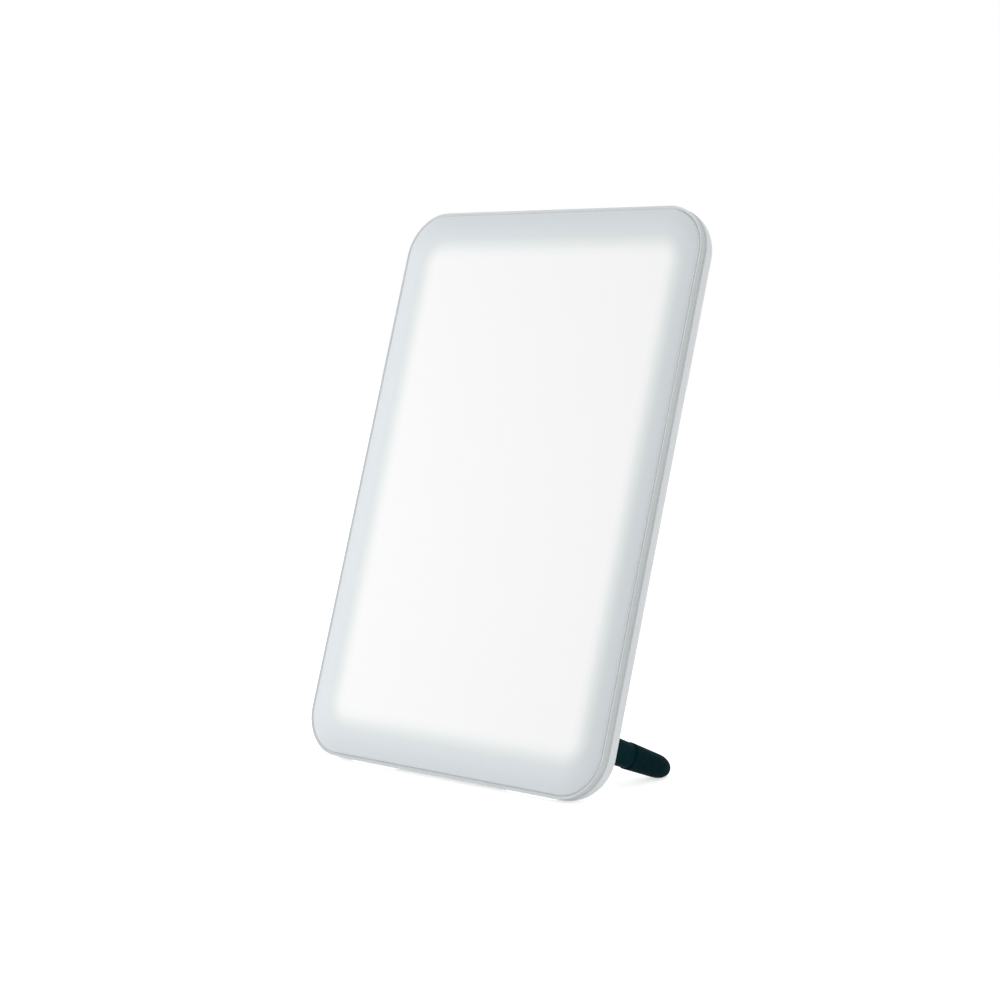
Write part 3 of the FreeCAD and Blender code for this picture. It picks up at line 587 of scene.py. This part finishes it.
def opal_cover():
    """Flat, an arc of radius roll/sin(a) with a = 2*atan(fall/roll), then rim, lip and inner face."""
    slope = 2 * math.atan((CROWN_DEPTH - CROWN_RIM) / CROWN_ROLL)
    radius = CROWN_ROLL / math.sin(slope)
    angle = np.linspace(0, slope, CROWN_ROWS)
    arc_inset = COVER_INSET + CROWN_ROLL - radius * np.sin(angle)
    arc_depth = -CROWN_DEPTH + radius * (1 - np.cos(angle))
    lip_outer = SHELL_WALL + LIP_GAP
    lip_inner = lip_outer + LIP_WALL
    inner = COVER_WALL - CROWN_DEPTH
    corners = [(arc_inset[-2], arc_depth[-2]), (COVER_INSET, -CROWN_RIM), (COVER_INSET, COVER_SEAT)]
    corners += [(lip_outer, COVER_SEAT), (lip_outer, LIP_DEPTH), (lip_inner, LIP_DEPTH)]
    corners += [(lip_inner, inner), (lip_inner + INNER_FLAT, inner)]
    edge = soften(corners, RIM_SOFTNESS)
    flat = 0 * FLAT_ROWS
    inset = np.concatenate([flat + arc_inset[0], arc_inset[:-2], edge[:, 0], flat + edge[-1, 0]])
    depth = np.concatenate([flat - CROWN_DEPTH, arc_depth[:-2], edge[:, 1], flat + inner])
    shrink = np.concatenate([FLAT_ROWS, np.ones(len(arc_inset) - 2 + len(edge)), FLAT_ROWS[::-1]])
    return slab_rings(inset, depth, shrink)


cover_grid = opal_cover()
print("cover grid, rows by columns:", cover_grid.shape[:2])

# %% [markdown]
# The glow is the look of this lamp. The lit field lies inside a border of twelve to fifteen
# millimetres; its edge is soft, because light scatters inside the milky plate. The distance to a
# rounded rectangle, worked out in the material from Object coordinates, drives one colour ramp
# for the light and one for the plate itself. The plate keeps its pale blue-grey where no light
# comes through. Its narrow rim wall also glows: this is painted light that brightens the rim's shaded side.

# %% Light the opal cover
LIT_HALF_WIDTH = 66 * MM
LIT_HALF_HEIGHT = 102.8 * MM
LIT_CORNER = 9 * MM
LIT_SHIFT = 2.6 * MM
LIT_DROP = 0.5 * MM
GLOW_INSIDE = 6 * MM
GLOW_OUTSIDE = 10 * MM
# Strength of the painted light on the cover's rim wall, which brightens its shaded side.
RIM_PAINTED_LIGHT = 0.2
GLOW_STOPS = [
    (0.0, (0.2, 0.2, 0.2, 1.0)),
    (0.19, (0.175, 0.178, 0.178, 1.0)),
    (0.375, (0.085, 0.095, 0.095, 1.0)),
    (0.56, (0.02, 0.025, 0.03, 1.0)),
    (1.0, (0.0, 0.0, 0.0, 1.0)),
]
PLATE_STOPS = [
    (0.0, linear(213, 214, 213)),
    (0.375, linear(211, 214, 214)),
    (0.75, linear(208, 214, 217)),
]


def distance_to_field(tree, vector):
    """Signed distance to a rounded rectangle of corner radius r and half sizes h about c.

    With q = |p - c| - (h - r), it is the length of max(q, 0), plus min(max(qx, qz), 0), less r.
    """
    centre = (LIT_SHIFT, 0.0, MIDDLE - LIT_DROP)
    centred = node(tree, "VectorMath", {0: vector, 1: centre}, operation="SUBTRACT")
    flat = node(tree, "VectorMath", {0: centred.outputs[0], 1: (1.0, 0.0, 1.0)}, operation="MULTIPLY")
    folded = node(tree, "VectorMath", {0: flat.outputs[0]}, operation="ABSOLUTE")
    half = (LIT_HALF_WIDTH - LIT_CORNER, 0.0, LIT_HALF_HEIGHT - LIT_CORNER)
    past = node(tree, "VectorMath", {0: folded.outputs[0], 1: half}, operation="SUBTRACT")
    clipped = node(tree, "VectorMath", {0: past.outputs[0], 1: (0.0, 0.0, 0.0)}, operation="MAXIMUM")
    outside = node(tree, "VectorMath", {0: clipped.outputs[0]}, operation="LENGTH").outputs["Value"]
    parts = node(tree, "SeparateXYZ", {0: past.outputs[0]}).outputs
    larger = node(tree, "Math", {0: parts["X"], 1: parts["Z"]}, operation="MAXIMUM")
    inside = node(tree, "Math", {0: larger.outputs[0], 1: 0.0}, operation="MINIMUM")
    both = node(tree, "Math", {0: outside, 1: inside.outputs[0]}, operation="ADD")
    return node(tree, "Math", {0: both.outputs[0], 1: LIT_CORNER}, operation="SUBTRACT").outputs[0]


def opal_acrylic():
    """Milky acrylic with a soft-edged lit field and a satin skin."""
    material, tree, shader = start_material("opal_cover", IOR=1.49, Emission_Strength=1.0)
    fall = spread(tree, distance_to_field(tree, slab_vector(tree)), 0.0, 1.0, -GLOW_INSIDE, GLOW_OUTSIDE)
    glow, plate = ramp(tree, fall, GLOW_STOPS), ramp(tree, fall, PLATE_STOPS)
    depth = node(tree, "SeparateXYZ", {0: slab_vector(tree)}).outputs["Y"]
    # Painted light: the rim wall glows from nothing at the front edge to full strength behind it, brightening its
    # shaded side.
    rim_painted_light = spread(tree, depth, 0.0, RIM_PAINTED_LIGHT, -CROWN_RIM, CROWN_RIM)
    light = node(tree, "VectorMath", {0: glow, 1: rim_painted_light}, operation="ADD").outputs[0]
    tree.links.new(light, shader.inputs["Emission Color"])
    tree.links.new(plate, shader.inputs["Base Color"])
    uneven_gloss(tree, shader, 0.42, 0.55, 900.0)
    relief(tree, shader, 1400.0, 0.02 * MM, 0.35)
    return material


mesh_piece("opal_cover", [skin(cover_grid)], "housing", ["front_diffuser"], "opal_cover", opal_acrylic())

# %% [markdown]
# ## The ring round the cover
# A thin grey ring frames the cover. From the front it is a line about a millimetre and a half
# wide that slopes down to the cover, and at the side it fills the seam between cover and back. It
# is one closed profile carried round the outline, joined to itself.

# %% Shape the ring
RING_RECESS = 0.1 * MM
RING_LIP = 1.4 * MM
RING_STEP = 1.2 * MM
RING_HEIGHT = 3.8 * MM
RING_BEVEL = 0.85 * MM
GROOVE = 0.35 * MM
GROOVE_HEIGHT = 1.5 * MM
RING_SOFTNESS = np.array([0.12, 0.06, 0.06, 0.1, 0.1, 0.1, 0.1, 0.3]) * MM


def ring_round_cover():
    """A land that slopes down to the cover, a step that seats it, and a groove next to the back."""
    seat = RING_RECESS + RING_LIP
    groove, groove_start = RING_RECESS + GROOVE, RING_HEIGHT - GROOVE_HEIGHT
    corners = [(RING_RECESS, 0), (seat, RING_BEVEL), (seat, RING_STEP), (SHELL_WALL, RING_STEP)]
    corners += [(SHELL_WALL, RING_HEIGHT), (groove, RING_HEIGHT)]
    corners += [(groove, groove_start), (RING_RECESS, groove_start)]
    profile = soften_loop(corners, RING_SOFTNESS)
    return slab_rings(profile[:, 0], profile[:, 1])


ring_grey = moulded("ring_grey", linear(206, 210, 211), (0.4, 0.55), drift=0.02)
mesh_piece("seam_ring", [skin(ring_round_cover(), ring=True)], "housing", ["trim_ring"], "trim", ring_grey)

# %% [markdown]
# ## The moulded back
# The back shell is the largest moulding: sides that turn into the flat back along a quarter of
# an ellipse, pockets for the folded legs, an inlet, vents and screw holes. A formula gives its
# outer form everywhere: how far a point lies from it, and which way it faces there.

# %% The back's outer form
NOT_ZERO = 1e-9


def outline_distance(x, height):
    """Depth inside the outline, and the outward direction of its nearest edge, across and up."""
    past_x = np.abs(x) - (SLAB_WIDTH / 2 - CORNER_RADIUS)
    past_z = np.abs(height - MIDDLE) - (SLAB_HEIGHT / 2 - CORNER_RADIUS)
    corner = (past_x > 0) & (past_z > 0)
    reach = np.where(corner, np.hypot(past_x, past_z), np.maximum(past_x, past_z))
    length = np.maximum(np.hypot(past_x, past_z), WELD_REACH)
    side_first = past_x > past_z
    out_x = np.where(corner, past_x / length, np.where(side_first, 1.0, 0.0)) * np.sign(x)
    out_z = np.where(corner, past_z / length, np.where(side_first, 0.0, 1.0)) * np.sign(height - MIDDLE)
    return CORNER_RADIUS - reach, out_x, out_z


def rolled_back(points):
    """How far points lie from the outer form, and its outward direction there.

    With e = (width - inset)/width and f = (depth - start)/roll depth, both held at 0 or more, the
    form is where e^2 + f^2 = 1, and its direction is e/width outwards and f/roll depth backwards.
    """
    x, depth, height = unplace(points)
    inset, out_x, out_z = outline_distance(x, height)
    e = np.maximum(ROLL_WIDTH - inset, 0) / ROLL_WIDTH
    f = np.maximum(depth - (REAR_DEPTH - ROLL_DEPTH), 0) / ROLL_DEPTH
    away = (np.hypot(e, f) - 1) * ROLL_DEPTH
    out, back = e / ROLL_WIDTH, f / ROLL_DEPTH
    length = np.maximum(np.hypot(out, back), NOT_ZERO)
    out, back = (out / length)[:, None], (back / length)[:, None]
    return away, out * (out_x[:, None] * across + out_z[:, None] * upward) + back * backward


off_form, _ = rolled_back(place(np.zeros(1), REAR_DEPTH, MIDDLE))
print("the back's middle lies off its form by", off_form.round(6))

# %% [markdown]
# The shell's cut-outs are best kept from the construction, so the piece is a merged copy of that
# skin. Triangles that meet at cut-outs would shade a wall in streaks. So the form's true direction
# is stored at every corner of every face that lies on it. Elsewhere large faces outweigh small
# ones, so that the floors of the pockets shade flat.

# %% Shape the back shell
SMOOTH_ANGLE = math.radians(32)
SKIN_REACH = 0.08 * MM
FACING = 0.8
FULL_WEIGHT = 100


def merged_copy(name):
    """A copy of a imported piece's mesh with its loose triangles joined into one skin."""
    mesh = nodes[name].data.copy()
    weld(mesh)
    mesh.materials.clear()
    mesh.set_sharp_from_angle(angle=SMOOTH_ANGLE)
    return mesh


def read_array(collection, key, width, kind=float):
    """One value of every item in a mesh's collection, as rows of width numbers."""
    values = np.zeros(len(collection) * width, dtype=kind)
    collection.foreach_get(key, values)
    return values.reshape(-1, width) if width > 1 else values


def weighed_directions(mesh):
    """Directions at the face corners, where each face counts by its area."""
    holder = bpy.data.objects.new("weighing", mesh)
    bpy.context.scene.collection.objects.link(holder)
    weigh = holder.modifiers.new("weigh", "WEIGHTED_NORMAL")
    weigh.mode, weigh.weight, weigh.keep_sharp = "FACE_AREA", FULL_WEIGHT, True
    ready = holder.evaluated_get(bpy.context.evaluated_depsgraph_get())
    corners = read_array(ready.to_mesh().corner_normals, "vector", 3)
    ready.to_mesh_clear()
    bpy.data.objects.remove(holder)
    return corners


def true_directions(mesh):
    """Stores the outer form's direction at every face corner that lies on it."""
    corners = weighed_directions(mesh)
    points = read_array(mesh.vertices, "co", 3)[read_array(mesh.loops, "vertex_index", 1, int)]
    face_normals = read_array(mesh.polygons, "normal", 3)
    sides = read_array(mesh.polygons, "loop_total", 1, int)
    face_normals = np.repeat(face_normals, sides, axis=0)
    away, direction = rolled_back(points)
    skin_face = np.abs(away) < SKIN_REACH
    skin_face &= np.einsum("ij,ij->i", face_normals, direction) > FACING
    whole = np.repeat(np.minimum.reduceat(skin_face, np.concatenate([[0], np.cumsum(sides)[:-1]])), sides)
    corners[whole] = direction[whole]
    mesh.normals_split_custom_set(corners.tolist())
    return int(whole.sum())


shell_mesh = merged_copy("rear_housing")
print("corners with true directions:", true_directions(shell_mesh), "of", len(shell_mesh.loops))
shell_white = moulded("shell_white", linear(230, 234, 236), (0.42, 0.58), drift=0.02)
show("back_shell", shell_mesh, "housing", ["rear_housing"], "housing", shell_white)

# %% [markdown]
# ## The legs
# Each leg is a flattened, tapering bar that starts in a round knuckle on its hinge pin and ends in
# a thumb-shaped tip. A cross-section could be drawn and lofted by hand. A formula does it in one
# go: the side outline is drawn in a little more for each step round the bar's edge radius, so
# the flanks, the rounded edges and the long tip are one surface.

# %% The leg's bar as a surface
LEG_WIDTH = 8 * MM
ROOT_HALF = 5.9 * MM
TIP_HALF = 4.4 * MM
EDGE_RADIUS = 3.6 * MM
DROOP = math.radians(3.55)
BOOT_STEP = 0.4 * MM
BOOT_START = 23.4 * MM
TIP_STRETCH = 1.9
EDGE_STEPS = 9

downward = lean + DROOP
tip_half = TIP_HALF + BOOT_STEP
tip_drop = tip_half * math.hypot(TIP_STRETCH * math.sin(downward), math.cos(downward))
reach = (float(hinge[2]) - tip_drop) / math.sin(downward)
taper = math.asin((ROOT_HALF - TIP_HALF) / reach)
print("leg reach to the tip's centre in mm:", round(reach / MM, 2))


def finger(along, inset, grow, side):
    """The leg's skin, row by row along its length.

    Round the edge radius r by the angle p, a point stands at x = flat + r*sin(p) on a side outline
    drawn in by s = r*(1 - cos(p)) + inset. That outline's half height is the tapering line, and
    past the tip's centre the ellipse sqrt((R - s)^2 - ((along - reach) / stretch)^2). p runs until
    the outline has shrunk to nothing, or to a quarter turn.
    """
    along = np.asarray(along, dtype=float)[:, None]
    inset = np.broadcast_to(np.asarray(inset, dtype=float).reshape(-1, 1), along.shape)
    tip = TIP_HALF + grow
    edge = EDGE_RADIUS + grow - inset
    past = (along - reach) / TIP_STRETCH
    capped = past > TIP_STRETCH * tip * math.sin(taper)
    room = np.where(capped, tip - inset - past, edge)
    turn = np.arccos(1 - np.clip(room / edge, 0, 1))
    u = np.linspace(0, 1, EDGE_STEPS)
    share = np.concatenate([u[::-1], u, u[::-1], u])[None, :]
    quarter = np.repeat(np.arange(4), EDGE_STEPS)[None, :]
    right = np.where((quarter == 0) | (quarter == 3), 1, -1)
    above = np.where(quarter < 2, 1, -1)
    angle = share * turn
    drawn_in = edge * (1 - np.cos(angle)) + inset
    x = right * (LEG_WIDTH / 2 - EDGE_RADIUS + edge * np.sin(angle))
    line = (ROOT_HALF + grow - along * math.sin(taper)) / math.cos(taper) - drawn_in
    circle = np.sqrt(np.maximum((tip - drawn_in) ** 2 - past ** 2, 0))
    up = above * np.where(capped, circle, line)
    depth = HINGE_DEPTH + along * math.cos(DROOP) + up * math.sin(DROOP)
    height = HINGE_HEIGHT - along * math.sin(DROOP) + up * math.cos(DROOP)
    return place(side * LEG_OFFSET + x, depth, height)


# %% [markdown]
# The bar slims where it leaves the knuckle, so that it clears the washers, and it ends out of
# sight inside the boot. The knuckle is a short turned tube with softened rims. The boot is a
# rubber sleeve that stands less than half a millimetre proud of the bar, with a rounded shoulder.

# %% Build both legs
BAR_START = 3.0 * MM
BAR_NECK = 5.5 * MM
NECK_INSET = 0.8 * MM
KNUCKLE_RADIUS = 4.2 * MM
KNUCKLE_BORE = 2.35 * MM
BAR_IN_BOOT = 1 * MM
SHOULDER = 0.6 * MM
KNUCKLE_SOFTNESS = np.array([0.15, 0.6, 0.6, 0.15]) * MM
NECK_ROWS, BAR_ROWS = 7, 12
SHOULDER_ROWS, SLEEVE_ROWS, TIP_ROWS = 6, 8, 14
SIDES = ((1, "right"), (-1, "left"))


def leg_bar(side):
    """The bar from the knuckle into the boot; its neck is drawn in along a cosine."""
    straight = np.linspace(BAR_NECK, BOOT_START + BAR_IN_BOOT, BAR_ROWS)
    along = np.concatenate([np.linspace(BAR_START, BAR_NECK, NECK_ROWS), straight[1:]])
    neck = np.clip((BAR_NECK - along) / (BAR_NECK - BAR_START), 0, 1)
    return finger(along, NECK_INSET * (1 - np.cos(neck * math.pi / 2)), 0.0, side)


def knuckle(side):
    """A tube about the hinge axis: a softened rectangle of radius and height, turned."""
    corners = [(KNUCKLE_BORE, -ROOT_HALF), (KNUCKLE_RADIUS, -ROOT_HALF)]
    corners += [(KNUCKLE_RADIUS, ROOT_HALF), (KNUCKLE_BORE, ROOT_HALF)]
    profile = soften_loop(corners, KNUCKLE_SOFTNESS)
    return turned_upright(profile, side * LEG_OFFSET)


def leg_boot(side):
    """Shoulder as a quarter circle, straight sleeve, then the tip by equal angles of its ellipse."""
    t = np.linspace(0, math.pi / 2, SHOULDER_ROWS)
    shoulder = BOOT_START + SHOULDER * (1 - np.cos(t))
    sleeve = np.linspace(BOOT_START + SHOULDER, reach, SLEEVE_ROWS)[1:]
    tip = reach + TIP_STRETCH * tip_half * np.sin(np.linspace(0, math.pi / 2, TIP_ROWS)[1:-1])
    along = np.concatenate([shoulder, sleeve, tip])
    inset = np.concatenate([SHOULDER * (1 - np.sin(t)), np.zeros(len(sleeve) + len(tip))])
    return finger(along, inset, BOOT_STEP, side)


PETROL_GLEAM = {"Specular_IOR_Level": 0.04, "Specular_Tint": (0.2, 0.9, 1.0, 1.0)}
leg_plastic = moulded("leg_petrol", linear(4, 34, 39), (0.6, 0.75), 1800.0, 0.02 * MM, 0.08, **PETROL_GLEAM)
boot_rubber = rubber("boot_rubber", linear(4, 30, 35), (0.65, 0.8), **PETROL_GLEAM)
for side, word in SIDES:
    body = word + "_leg"
    bar_skins = [skin(leg_bar(side)), skin(knuckle(side), ring=True)]
    mesh_piece(word + "_leg_bar", bar_skins, body, [body], "leg", leg_plastic)
    mesh_piece(word + "_boot", [skin(leg_boot(side))], body, [body + "_boot"], "boot", boot_rubber)

# %% [markdown]
# ## The small parts of the back
# What a hand or a screwdriver meets is small: a round button in its ring, the soft caps over the
# screws, a blank plate, the feet. Turned parts are a profile of radius and depth swept round an
# axis. The button's face is dished a third of a millimetre, so that a fingertip finds it.

# %% The button and its ring
BUTTON_HEIGHT = 150 * MM
BUTTON_BASE, BUTTON_FLANGE, BUTTON_TOP = 14.0 * MM, 14.8 * MM, 19.0 * MM
BUTTON_RADIUS, FLANGE_RADIUS, DISH_RADIUS = 7.0 * MM, 8.2 * MM, 5.8 * MM
DISH, BASE_CENTRE = 0.35 * MM, 0.4 * MM
DISH_ROWS = 14
BUTTON_SOFTNESS = np.array([0.2, 0.2, 0.1, 0.7]) * MM
BEZEL_SOFTNESS = np.array([0.2, 0.2, 0.2, 0.1, 0.5, 0.35]) * MM
BEZEL_IN, BEZEL_OUT, BEZEL_FLANGE = 7.2 * MM, 9.0 * MM, 10.2 * MM
BEZEL_BACK, BEZEL_STEP, BEZEL_FRONT = 15.0 * MM, 16.0 * MM, 18.4 * MM


def button_face():
    """Base, flange, side and softened rim, then a dish DISH/2 * (1 + cos(pi * r / R)) deep."""
    corners = [(BASE_CENTRE, BUTTON_BASE), (FLANGE_RADIUS, BUTTON_BASE), (FLANGE_RADIUS, BUTTON_FLANGE)]
    corners += [(BUTTON_RADIUS, BUTTON_FLANGE), (BUTTON_RADIUS, BUTTON_TOP), (DISH_RADIUS, BUTTON_TOP)]
    edge = soften(corners, BUTTON_SOFTNESS, 5)
    radius = np.linspace(DISH_RADIUS, 0, DISH_ROWS)[1:-1]
    fall = DISH / 2 * (1 + np.cos(math.pi * radius / DISH_RADIUS))
    return turned(np.concatenate([edge, np.stack([radius, BUTTON_TOP - fall], axis=-1)]), 0.0, BUTTON_HEIGHT)


def button_ring():
    """A liner with a flange behind the shell's wall, its visible rim rounded."""
    corners = [(BEZEL_IN, BEZEL_BACK), (BEZEL_FLANGE, BEZEL_BACK), (BEZEL_FLANGE, BEZEL_STEP)]
    corners += [(BEZEL_OUT, BEZEL_STEP), (BEZEL_OUT, BEZEL_FRONT), (BEZEL_IN, BEZEL_FRONT)]
    profile = soften_loop(corners, BEZEL_SOFTNESS)
    return turned(profile, 0.0, BUTTON_HEIGHT, 96)


button_satin = moulded("button_satin", linear(226, 230, 232), (0.34, 0.46), 1800.0, 0.012 * MM, 0.015)
mesh_piece("power_cap", [skin(button_face())], "power_button", ["button_cap"], "button", button_satin)
ring_satin = metal("ring_satin", linear(196, 200, 203), (0.28, 0.4), (3000.0, 3000.0, 3000.0))
mesh_piece("button_ring", [skin(button_ring(), ring=True)], "housing", ["button_bezel"], "bezel", ring_satin)

# %% [markdown]
# The screws sit deep in their holes under soft caps. Each cap ends flush with the back, and near
# the slab's edge the back is already falling away. So the top of a cap follows the same ellipse
# as the shell, less a small rounding at its rim and a dimple where it was gated.

# %% Caps over the screws
CAP_RADIUS = 3.1 * MM
CAP_START = 14.1 * MM
CAP_RIM = 0.3 * MM
DIMPLE, DIMPLE_RADIUS = 0.2 * MM, 0.7 * MM
SIDE_CAP_X = SLAB_WIDTH / 2 - 9.4 * MM
END_CAP_X = SLAB_WIDTH / 2 - 34 * MM
END_CAP_INSET = 9.4 * MM
SIDE_CAP_SHARES = (0.30, 0.72)
CAP_COLUMNS, CAP_RIM_ROWS, CAP_TOP_ROWS = 40, 5, 12


def back_depth(x, height):
    """Depth of the outer form: start + roll depth * sqrt(1 - e^2), e as for the rolled back."""
    inset, _, _ = outline_distance(x, height)
    e = np.maximum(ROLL_WIDTH - inset, 0) / ROLL_WIDTH
    return REAR_DEPTH - ROLL_DEPTH + ROLL_DEPTH * np.sqrt(np.maximum(1 - e ** 2, 0))


def screw_cap(x, height):
    """A disc of rings: a flat base, the side, a rim rounded by a quarter circle, the dimpled top."""
    angle = np.linspace(0, 2 * math.pi, CAP_COLUMNS, endpoint=False)
    turn = np.linspace(0, math.pi / 2, CAP_RIM_ROWS)
    inner = np.linspace(CAP_RADIUS - CAP_RIM, 0, CAP_TOP_ROWS)[1:-1]
    radius = np.concatenate([[CAP_RADIUS / 2, CAP_RADIUS], CAP_RADIUS - CAP_RIM * (1 - np.cos(turn)), inner])
    below = np.concatenate([CAP_RIM * (1 - np.sin(turn)), DIMPLE * np.exp(-(inner / DIMPLE_RADIUS) ** 2)])
    ring_x, ring_z = x + radius[:, None] * np.cos(angle), height + radius[:, None] * np.sin(angle)
    depth = back_depth(ring_x, ring_z)
    depth[2:] -= below[:, None]
    depth[:2] = CAP_START
    return place(ring_x, depth, ring_z)


end_heights = (END_CAP_INSET, SLAB_HEIGHT - END_CAP_INSET)
cap_places = [(side * SIDE_CAP_X, share * SLAB_HEIGHT) for side in (-1, 1) for share in SIDE_CAP_SHARES]
cap_places += [(side * END_CAP_X, height) for side in (-1, 1) for height in end_heights]
cap_rubber = rubber("cap_rubber", linear(212, 217, 219), (0.6, 0.8))
cap_skins = [skin(screw_cap(x, height)) for x, height in cap_places]
mesh_piece("screw_caps", cap_skins, "housing", ["screw_plugs"], "plug_cap", cap_rubber)

# %% [markdown]
# The plate and the feet are both flat pads with rounded corners and softened rims, so one
# function draws them: the plate let into the back, brushed along its length and left blank, and
# two feet of milky clear silicone that stand flat on the ground while the slab above them leans.

# %% The blank plate and the feet
PLATE_HALF = (23 * MM, 12 * MM)
PLATE_CORNER = 2 * MM
PLATE_THICKNESS = 0.4 * MM
PLATE_HEIGHT = 110 * MM
FOOT_HALF = (13 * MM, 2.7 * MM)
FOOT_CORNER = 2 * MM
RIM = 0.15 * MM
PAD_ROWS = np.linspace(0.04, 1, 7)[:-1]


def flat_pad(half, corner, low, high, rim):
    """Across, up and level of a pad: base, softened rims and top as rings of a rounded rectangle."""
    edge = soften([(4 * rim, low), (0, low), (0, high), (4 * rim, high)], rim, 5)
    flat = 0 * PAD_ROWS
    inset = np.concatenate([flat + edge[0, 0], edge[:, 0], flat + edge[-1, 0]])
    level = np.concatenate([flat + low, edge[:, 1], flat + high])
    shrink = np.concatenate([PAD_ROWS, np.ones(len(edge)), PAD_ROWS[::-1]])
    x, up = rounded_rings(*half, corner, inset, shrink)
    return x, up, level[:, None]


plate_bottom = REAR_DEPTH - PLATE_THICKNESS
plate_x, plate_up, plate_depth = flat_pad(PLATE_HALF, PLATE_CORNER, plate_bottom, REAR_DEPTH, RIM / 2)
plate_brushed = metal("plate_brushed", linear(160, 164, 168), (0.34, 0.48), (300.0, 9000.0, 9000.0))
plate_skin = skin(place(plate_x, plate_depth, PLATE_HEIGHT + plate_up))
mesh_piece("blank_plate", [plate_skin], "housing", ["rating_plate"], "plate", plate_brushed)

foot_low, foot_high = (np.array(corner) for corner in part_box("foot_pads"))
foot_x = foot_high[0] - FOOT_HALF[0]
foot_y = (foot_low[1] + foot_high[1]) / 2
foot_skins = []
for side in (-1, 1):
    x, y, z = flat_pad(FOOT_HALF, FOOT_CORNER, float(foot_low[2]), float(foot_high[2]), RIM)
    x, y, z = np.broadcast_arrays(side * foot_x + x, foot_y + y, z)
    foot_skins.append(skin(np.stack([x, y, z], axis=-1)))
clear = {"Transmission_Weight": 0.85, "IOR": 1.41}
foot_silicone = rubber("foot_silicone", linear(238, 241, 241), (0.3, 0.45), **clear)
mesh_piece("feet", foot_skins, "housing", ["foot_pads"], "foot", foot_silicone)

# %% [markdown]
# The hinge shows between the leg's knuckle and the walls of its pocket: a ground pin with
# chamfered ends, and above and below the knuckle a wave washer, whose three crests press on both
# sides and give the leg its friction.

# %% Pins and wave washers
PIN_RADIUS, PIN_CENTRE, PIN_HALF, PIN_CHAMFER = 1.5 * MM, 0.3 * MM, 10.4 * MM, 0.3 * MM
WASHER_IN, WASHER_OUT, WASHER_HALF, WASHER_EDGE = 1.55 * MM, 3.6 * MM, 0.15 * MM, 0.08 * MM
WASHER_WAVE = 0.2 * MM
WASHER_RISE = 6.35 * MM

pin_corners = [(PIN_CENTRE, -PIN_HALF), (PIN_RADIUS, -PIN_HALF)]
pin_corners += [(PIN_RADIUS, PIN_HALF), (PIN_CENTRE, PIN_HALF)]
pin_profile = soften(pin_corners, PIN_CHAMFER)
washer_corners = [(WASHER_IN, -WASHER_HALF), (WASHER_OUT, -WASHER_HALF)]
washer_corners += [(WASHER_OUT, WASHER_HALF), (WASHER_IN, WASHER_HALF)]
washer_profile = soften_loop(washer_corners, WASHER_EDGE)
pin_ground = metal("pin_ground", linear(205, 207, 209), (0.18, 0.28), (6000.0, 6000.0, 500.0))
washer_steel = metal("washer_steel", linear(178, 181, 185), (0.25, 0.4), (900.0, 900.0, 900.0))
for side, word in SIDES:
    x = side * LEG_OFFSET
    pin_skin = skin(turned_upright(pin_profile, x))
    mesh_piece(word + "_pin", [pin_skin], "housing", [word + "_hinge_pin"], "pin_steel", pin_ground)
    lifted = [washer_profile + (0, end * WASHER_RISE) for end in (-1, 1)]
    washers = [skin(turned_upright(profile, x, WASHER_WAVE), ring=True) for profile in lifted]
    replaced = [word + "_hinge_washers"]
    mesh_piece(word + "_wave_washers", washers, "housing", replaced, "spring_steel", washer_steel)

# %% [markdown]
# ## Finishes for the inner parts
# The inside shows only through the vents, the pockets and the socket, or when the lamp is opened.
# Its parts keep the construction's own meshes, and each slot gets a finish from the same three
# families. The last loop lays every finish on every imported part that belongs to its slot.

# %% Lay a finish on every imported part
finishes.update({
    "film": moulded("frosted_film", linear(238, 240, 240), (0.5, 0.65), 900.0, 0.005 * MM, 0.01),
    "tray": moulded("reflector_white", linear(240, 241, 240), (0.55, 0.7), 1500.0, 0.01 * MM, 0.01),
    "led_board": moulded("board_white", linear(238, 239, 236), (0.25, 0.35), 700.0, 0.01 * MM, 0.02),
    "led_chip": moulded("phosphor_cream", linear(240, 228, 190), (0.3, 0.5), 3000.0, 0.02 * MM, 0.06),
    "spreader": metal("rolled_aluminium", linear(200, 203, 206), (0.35, 0.5), (6000.0, 6000.0, 120.0)),
    "steel_screw": metal("zinc_steel", linear(182, 185, 190), (0.3, 0.45), (1800.0, 1800.0, 1800.0)),
    "chassis": moulded("chassis_grey", linear(214, 217, 218), (0.5, 0.65), 1300.0, 0.02 * MM, 0.03),
    "seal": rubber("seal_foam", linear(62, 63, 66), (0.8, 0.95)),
    "driver_board": moulded("board_green", linear(22, 92, 58), (0.25, 0.4), 900.0, 0.015 * MM, 0.15),
    "chip_black": moulded("chip_epoxy", linear(34, 34, 36), (0.5, 0.65), 2600.0, 0.015 * MM, 0.1),
    "ferrite": moulded("ferrite_dark", linear(52, 53, 56), (0.6, 0.8), 2200.0, 0.04 * MM, 0.15),
    "copper_wire": metal("enamelled_copper", linear(206, 120, 70), (0.2, 0.35), (200.0, 9000.0, 200.0)),
    "can": metal("can_aluminium", linear(206, 208, 210), (0.25, 0.4), (900.0, 900.0, 900.0)),
    "socket": moulded("nylon_natural", linear(228, 223, 206), (0.4, 0.55), 1200.0, 0.015 * MM, 0.03),
    "wire_red": rubber("wire_red", linear(176, 30, 26), (0.35, 0.5)),
    "wire_black": rubber("wire_black", linear(30, 30, 31), (0.35, 0.5)),
    "jack": moulded("jack_black", linear(30, 32, 34), (0.4, 0.55), 1600.0, 0.015 * MM, 0.08),
    "contact": metal("nickel_contact", linear(214, 212, 206), (0.12, 0.25), (900.0, 900.0, 900.0)),
    "bronze": metal("sintered_bronze", linear(190, 146, 92), (0.4, 0.55), (3000.0, 3000.0, 3000.0)),
})
for part in frame["record"]["subparts"]:
    for holder in nodes[part["node"]].material_slots:
        holder.material = finishes[part["material_slot"]]
print("finishes laid:", len(finishes), "on parts:", len(nodes))
